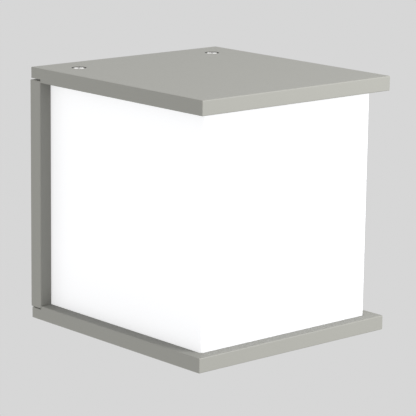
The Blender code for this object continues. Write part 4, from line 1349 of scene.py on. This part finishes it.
def fitted(name, shape, node, steps=64):
    """A turned piece as wide and as high as the node, from shares of its radius and height."""
    radius, height = size_of(node)
    profile = [(radius * out, height * up) for out, up in shape]
    return turned(name, profile, (0.0, LAMP_Y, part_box(node)[0].z), steps=steps)


class LANTERN_OT_lamp(bpy.types.Operator):
    """Models the lamp: screw cap with its insulator and contact, flared housing, LED board and globe"""

    bl_idname = "lantern.lamp"
    bl_label = "Lamp"

    def execute(self, context):
        self.cap()
        self.insulator()
        self.contact()
        self.housing()
        self.board()
        self.globe()
        return {"FINISHED"}

    def cap(self):
        low, high = CAP
        piece = rolled_sleeve("screw_cap", CAP_RADIUS, CAP_WALL, low.z, high.z - low.z)
        mouth = CAP_INSIDE * 0.68
        lip = [
            (CAP_INSIDE + HAIR, 0.0006),
            (CAP_INSIDE + HAIR, 0.0),
            (mouth, 0.0003),
            (mouth, 0.0008),
            (CAP_INSIDE - HAIR, 0.0008),
        ]
        weld(piece, turned("lip", lip, (0.0, LAMP_Y, low.z), ring=True))
        finish(piece, look(nickel), "lamp", "nickel_plate", "lamp_cap", angle=60.0)

    def insulator(self):
        shape = [(0.0, 1.0), (1.0, 1.0), (1.0, 0.8), (0.62, 0.18), (0.45, 0.0), (0.0, 0.0)]
        piece = fitted("cap_insulator", shape, "lamp_cap_insulator")
        finish(piece, look(insulator_black), "lamp", "insulator_black", "lamp_cap_insulator")

    def contact(self):
        shape = [(0.0, 1.0), (1.0, 1.0), (1.0, 0.75), (0.92, 0.45), (0.7, 0.16), (0.4, 0.03), (0.0, 0.0)]
        piece = fitted("cap_contact", shape, "lamp_cap_contact", steps=48)
        finish(piece, look(tinned_copper), "lamp", "tinned_copper", "lamp_cap_contact", angle=50.0)

    def housing(self):
        """A flared housing with a smooth side and a spigot in the cap, hollow and open above."""
        low, high = HOUSING
        base = CAP[1].z + HAIR
        height = high.z - base
        rim = (high.x - low.x) / 2
        neck = CAP_RADIUS + HAIR
        spigot = CAP_INSIDE - 2 * HAIR
        bore = spigot - HOUSING_WALL
        mouth = rim - 1.5 * HOUSING_WALL
        seat = height - 0.0022
        levels = [height * i / 20 for i in range(20)]

        def side(level):
            return neck + (rim - neck) * swell(level / height / 2)

        outer = [(side(level), level) for level in reversed(levels)]
        inner = [(side(level) - HOUSING_WALL, level + HOUSING_WALL) for level in levels]
        profile = [
            (rim - SOFT_EDGE, height),
            (rim, height - SOFT_EDGE),
            *outer,
            (spigot, 0.0),
            (spigot, low.z - base),
            (bore, low.z - base),
            (bore, HOUSING_WALL),
            *(point for point in inner if point[1] < height - 0.003),
            (rim - 3 * HOUSING_WALL, seat),
            (mouth, seat),
            (mouth, height),
        ]
        piece = turned("lamp_body", profile, (0.0, LAMP_Y, base), steps=96, ring=True)
        finish(piece, look(lamp_plastic), "lamp", "lamp_plastic", "lamp_housing")

    def board(self):
        """The LED board: a plain white disc, which the globe hides."""
        radius, height = size_of("lamp_led_board")
        foot = (0.0, LAMP_Y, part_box("lamp_led_board")[0].z)
        piece = rod("led_board", radius, foot, UP, height, sides=64)
        finish(ease(piece, 0.0002), look(board_white), "lamp", "board_white", "lamp_led_board")

    def globe(self):
        """A thin ball, cut level where it meets the housing."""
        low, high = GLOBE
        centre = high.z - GLOBE_RADIUS
        hollow = GLOBE_RADIUS - GLOBE_WALL
        drop = centre - low.z
        outer_end, inner_end = (-math.degrees(math.asin(drop / ball)) for ball in (GLOBE_RADIUS, hollow))
        profile = [
            (0.0, GLOBE_RADIUS),
            *arc((0.0, 0.0), GLOBE_RADIUS, 90, outer_end, 32)[1:],
            *arc((0.0, 0.0), hollow, inner_end, 90, 32)[:-1],
            (0.0, hollow),
        ]
        piece = turned("milky_globe", profile, (0.0, LAMP_Y, centre), steps=96)
        finish(piece, look(globe_plastic), "lamp", "globe_plastic", "lamp_globe", angle=60.0)


# ---------------------------------------------------------------- wiring


def smooth_route(points, pieces=10):
    """Points along a Catmull-Rom curve through the route's own points."""
    points = [Vector(point) for point in points]
    ends = [2 * points[0] - points[1], *points, 2 * points[-1] - points[-2]]
    route = []
    for a, b, c, d in zip(ends, ends[1:], ends[2:], ends[3:]):
        for step in range(pieces):
            t = step / pieces
            squared = (2 * a - 5 * b + 4 * c - d) * t**2
            cubed = (3 * b - a - 3 * c + d) * t**3
            route.append(0.5 * (2 * b + (c - a) * t + squared + cubed))
    return [*route, points[-1]]


def wire(name, points, material, slot, node):
    """An insulated wire along a route, with a mark on each point for which side of it a stripe is on."""
    route = smooth_route(points)
    data = bpy.data.curves.new(name, "CURVE")
    data.dimensions = "3D"
    data.bevel_depth = WIRE_RADIUS
    data.bevel_resolution = WIRE_RINGS
    data.use_fill_caps = True
    spline = data.splines.new("POLY")
    spline.points.add(len(route) - 1)
    for point, spot in zip(spline.points, route):
        point.co = (*spot, 1.0)
    piece = bpy.data.objects.new(name, data)
    bpy.context.scene.collection.objects.link(piece)
    activate(piece)
    bpy.ops.object.convert(target="MESH")
    around = 4 + 2 * WIRE_RINGS
    stripe = piece.data.attributes.new("stripe", "FLOAT", "POINT")
    for index, mark in enumerate(stripe.data):
        mark.value = float(index % around < around * 0.4)
    with editing(piece):
        select_all()
        bpy.ops.mesh.remove_doubles(threshold=MERGE)
    return finish(piece, material, "root", slot, node, angle=60.0)


class LANTERN_OT_wiring(bpy.types.Operator):
    """Models the terminal block, its screws and inserts, the earth stud and the three wires"""

    bl_idname = "lantern.wiring"
    bl_label = "Wiring"

    def execute(self, context):
        self.block()
        for pole in POLES:
            self.terminal(pole)
        for side in SIDES:
            node = f"terminal_block_screw_{side}"
            low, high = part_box(node)
            spot = ((low.x + high.x) / 2, low.y + M3[1], (low.z + high.z) / 2)
            screw = pan_screw(f"block_fixing_{side}", M3, spot, FORWARD, 0.6)
            finish(screw, look(zinc), "root", "zinc_plated_steel", node)
        self.earth()
        self.wires()
        return {"FINISHED"}

    def block(self):
        """The insulating strip: a bore and two screw collars for each pole, with notches between poles."""
        low, high = BLOCK
        body = round_edges(block("terminal_strip", low, high), 0.0009, segments=4)
        through = high.z - low.z + 2 * MARGIN
        collar = [(0.0, 0.0), (0.0026, 0.0), (0.0026, 0.0006), (0.0023, 0.0009), (0.0, 0.0009)]
        for pole in POLES:
            x, y, _ = middle_of(f"terminal_insert_{pole}")
            carve(body, rod("barrel", 0.0027, (x, y, low.z - MARGIN), UP, through, 32))
            for row in ROWS:
                z = middle_of(f"terminal_screw_{pole}_{row}").z
                weld(body, turned("collar", collar, (x, low.y + 0.0004, z), FORWARD, steps=32))
                carve(body, rod("access", 0.0018, (x, y, z), FORWARD, 0.02, 32))
        wide, tall = 0.0006, 0.0016
        for side in SIDES:
            x, _, z = middle_of(f"terminal_block_screw_{side}")
            carve(body, rod("fixing", M3[2] + HAIR, (x, 0.0, z), FORWARD, 0.03, 32))
            for end in (low.z, high.z):
                corners = (x - wide, low.y - MARGIN, end - tall), (x + wide, MARGIN, end + tall)
                carve(body, block("notch", *corners))
        finish(ease(body, 0.00015), look(block_plastic), "root", "block_plastic", "terminal_block")

    def terminal(self, pole):
        """A brass barrel and its two slotted clamping screws."""
        node = f"terminal_insert_{pole}"
        radius, length = size_of(node)
        edge = 0.0002
        outer = [(radius - edge, length), (radius, length - edge), (radius, edge), (radius - edge, 0.0)]
        inner = [(BARREL_BORE + edge, 0.0), (BARREL_BORE, edge)]
        inner += [(out, length - up) for out, up in reversed(inner)]
        middle = middle_of(node)
        foot = (middle.x, middle.y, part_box(node)[0].z)
        piece = turned(f"barrel_{pole}", outer + inner, foot, steps=40, ring=True)
        finish(piece, look(brass), "root", "brass", node)
        for row, turn in ROWS.items():
            node = f"terminal_screw_{pole}_{row}"
            low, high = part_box(node)
            middle = (low + high) / 2
            length = high.y - low.y
            screw = threaded(
                f"clamp_screw_{pole}_{row}", middle.x - low.x, 0.0002, 0.0005, length, steps=20
            )
            half = 0.00025
            slot = block("slot", (-MARGIN, -half, length - 0.0009), (MARGIN, half, length + MARGIN))
            slot.rotation_euler.z = turn
            carve(screw, slot)
            stand(screw, (middle.x, high.y, middle.z), FORWARD)
            finish(screw, look(zinc), "root", "zinc_plated_steel", node)

    def earth(self):
        """The earth stud: a ring terminal under a washer and a pan-head screw."""
        x, _, z = middle_of("earth_screw")
        spot = (x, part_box("earth_screw")[0].y + M4[1], z)
        screw = pan_screw("earth_stud", M4, spot, FORWARD, 0.3)
        finish(screw, look(nickel), "root", "stainless_steel", "earth_screw")
        low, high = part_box("earth_washer")
        radius = (high.x - low.x) / 2
        height = high.y - low.y
        inner = M4[2] + HAIR
        edge = 0.00015
        profile = [
            (radius - edge, height),
            (radius, height - edge),
            (radius, edge),
            (radius - edge, 0.0),
            (inner, 0.0),
            (inner, height),
        ]
        washer = turned("earth_ring", profile, (x, high.y, z), FORWARD, ring=True)
        finish(washer, look(nickel), "root", "stainless_steel", "earth_washer")
        dress("earth_ring_terminal", look(tinned_copper))

    def wires(self):
        """Line and neutral run from the block to the holder's foot, and earth loops to its ring terminal."""
        pole_y = middle_of("terminal_insert_line").y
        bottom = BLOCK[0].z
        entry = bottom + 2 * MARGIN
        holder_y = LAMP_Y + HOLDER_BASE
        holder_z = HOLDER[0].z + ENTRY_HEIGHT
        drop = holder_z - bottom
        sleeves = {
            "line": ("wire_brown", (0.13, 0.055, 0.024)),
            "neutral": ("wire_blue", (0.025, 0.11, 0.42)),
        }
        for pole, (sleeve, colour) in sleeves.items():
            x = middle_of(f"terminal_insert_{pole}").x
            end_x = LIVE_POLES[pole] * ENTRY_X
            points = [
                (x, pole_y, entry),
                (x, pole_y, bottom - 0.004),
                (x, pole_y, bottom + 0.35 * drop),
                (x, pole_y - 0.001, bottom + 0.65 * drop),
                (x + 0.3 * (end_x - x), pole_y - 0.007, bottom + 0.88 * drop),
                (x + 0.7 * (end_x - x), pole_y - 0.020, holder_z - 0.001),
                (end_x, holder_y + 0.012, holder_z),
                (end_x, holder_y + 0.004, holder_z),
                (end_x, holder_y - HOLDER_BASE / 4, holder_z),
            ]
            wire(f"{pole}_wire", points, insulation(sleeve, colour), sleeve, f"wire_{pole}")
        earth_x = middle_of("earth_screw").x
        pole_x = middle_of("terminal_insert_earth").x
        crimp_y = BACK_FACE - HAIR - CRIMP_RADIUS - HAIR / 3
        crimp_z = middle_of("earth_screw").z - RING_TERMINAL + HAIR - CRIMP_LENGTH
        middle = (earth_x + pole_x) / 2
        reach = (earth_x - pole_x) / 2
        points = [
            (earth_x, crimp_y, crimp_z + 0.003),
            (earth_x, crimp_y, crimp_z - 0.004),
            (earth_x - 0.001, crimp_y, crimp_z - 0.010),
            (middle, (crimp_y + pole_y) / 2, crimp_z - 0.012 - 0.7 * reach),
            (pole_x + 0.001, pole_y, crimp_z - 0.010),
            (pole_x, pole_y, bottom - 0.004),
            (pole_x, pole_y, entry),
        ]
        wire("earth_wire", points, look(earth_insulation), "wire_green", "wire_earth")


# ---------------------------------------------------------------- stage


def make_camera():
    stage = settings("lantern_stage")
    sight = Vector((
        -math.sin(stage.azimuth) * math.cos(stage.elevation),
        math.cos(stage.azimuth) * math.cos(stage.elevation),
        -math.sin(stage.elevation),
    ))
    bpy.ops.object.camera_add(location=stage.position)
    camera = bpy.context.object
    camera.name = "camera"
    camera.rotation_mode = "QUATERNION"
    camera.rotation_quaternion = Quaternion(sight, -stage.roll) @ sight.to_track_quat("-Z", "Y")
    camera.data.lens = stage.lens
    camera.data.sensor_width = 36.0
    camera.data.clip_start = 0.05
    camera.data.clip_end = 50.0
    bpy.context.scene.camera = camera


def make_light(name, place, target, size, power):
    """A soft square light that faces the target."""
    bpy.ops.object.light_add(type="AREA", location=place)
    light = bpy.context.object
    light.name = name
    light.rotation_mode = "QUATERNION"
    light.rotation_quaternion = (Vector(target) - Vector(place)).to_track_quat("-Z", "Y")
    light.data.shape = "SQUARE"
    light.data.size = size
    light.data.energy = power
    light.visible_camera = False
    return light


def make_surroundings():
    """A pale world and a pale floor of the same grey."""
    stage = settings("lantern_stage")
    world = bpy.data.worlds.new("studio")
    world.use_nodes = True
    world.node_tree.nodes["Background"].inputs["Color"].default_value = (*stage.backdrop, 1.0)
    world.node_tree.nodes["Background"].inputs["Strength"].default_value = 1.0
    bpy.context.scene.world = world
    bpy.context.scene.view_settings.view_transform = "Standard"
    deselect()
    bpy.ops.mesh.primitive_plane_add(size=60.0, location=(0.0, 0.0, cad_box[0].z - FLOOR_DROP))
    floor = settled("studio_floor")
    paper = Surface("studio_paper", roughness=1.0, emission_strength=1.0)
    tint = paper.noise(2.0)
    paper.feed("Base Color", (0.0, 0.0, 0.0, 1.0))
    paper.feed("Emission Color", paper.mix(tint, tone(stage.backdrop, 0.999), tone(stage.backdrop, 1.001)))
    paper.shader.inputs["Specular IOR Level"].default_value = 0.0
    floor.data.materials.append(paper.material)


class LANTERN_OT_stage(bpy.types.Operator):
    """Sets up the camera, the lights, the floor and the surroundings"""

    bl_idname = "lantern.stage"
    bl_label = "Studio"

    def execute(self, context):
        make_camera()
        make_surroundings()
        make_light("key", *KEY_LIGHT)
        rear = make_light("rear", *REAR_LIGHT)
        shine_only_on(rear, *(bpy.data.objects[f"lid_screw_{side}"] for side in SIDES))
        return {"FINISHED"}


GROUPS = {
    "lantern_paint": LanternPaint,
    "lantern_glow": LanternGlow,
    "lantern_fixings": LanternFixings,
    "lantern_stage": LanternStage,
}
PIECES = (
    LANTERN_OT_cover,
    LANTERN_OT_base,
    LANTERN_OT_back,
    LANTERN_OT_diffuser,
    LANTERN_OT_seals,
    LANTERN_OT_countersunk_screws,
    LANTERN_OT_bracket,
    LANTERN_OT_lampholder,
    LANTERN_OT_lamp,
    LANTERN_OT_wiring,
    LANTERN_OT_stage,
)


class LANTERN_PT_sidebar(bpy.types.Panel):
    """The lantern's pieces and settings"""

    bl_label = "Wall lantern"
    bl_idname = "LANTERN_PT_sidebar"
    bl_space_type = "VIEW_3D"
    bl_region_type = "UI"
    bl_category = "Lantern"

    def draw(self, context):
        for operator in PIECES:
            self.layout.operator(operator.bl_idname)
        for group in GROUPS:
            for name in GROUPS[group].__annotations__:
                self.layout.prop(settings(group), name)


def register():
    for group in GROUPS.values():
        bpy.utils.register_class(group)
    for panel_or_operator in (*PIECES, LANTERN_PT_sidebar):
        bpy.utils.register_class(panel_or_operator)
    for name, group in GROUPS.items():
        setattr(bpy.types.Scene, name, bpy.props.PointerProperty(type=group))


def unregister():
    for name in GROUPS:
        delattr(bpy.types.Scene, name)
    for panel_or_operator in (LANTERN_PT_sidebar, *reversed(PIECES)):
        bpy.utils.unregister_class(panel_or_operator)
    for group in reversed(GROUPS.values()):
        bpy.utils.unregister_class(group)


def main():
    register()
    for operator in PIECES:
        group, name = operator.bl_idname.split(".")
        getattr(getattr(bpy.ops, group), name)()


if __name__ == "__main__":
    main()
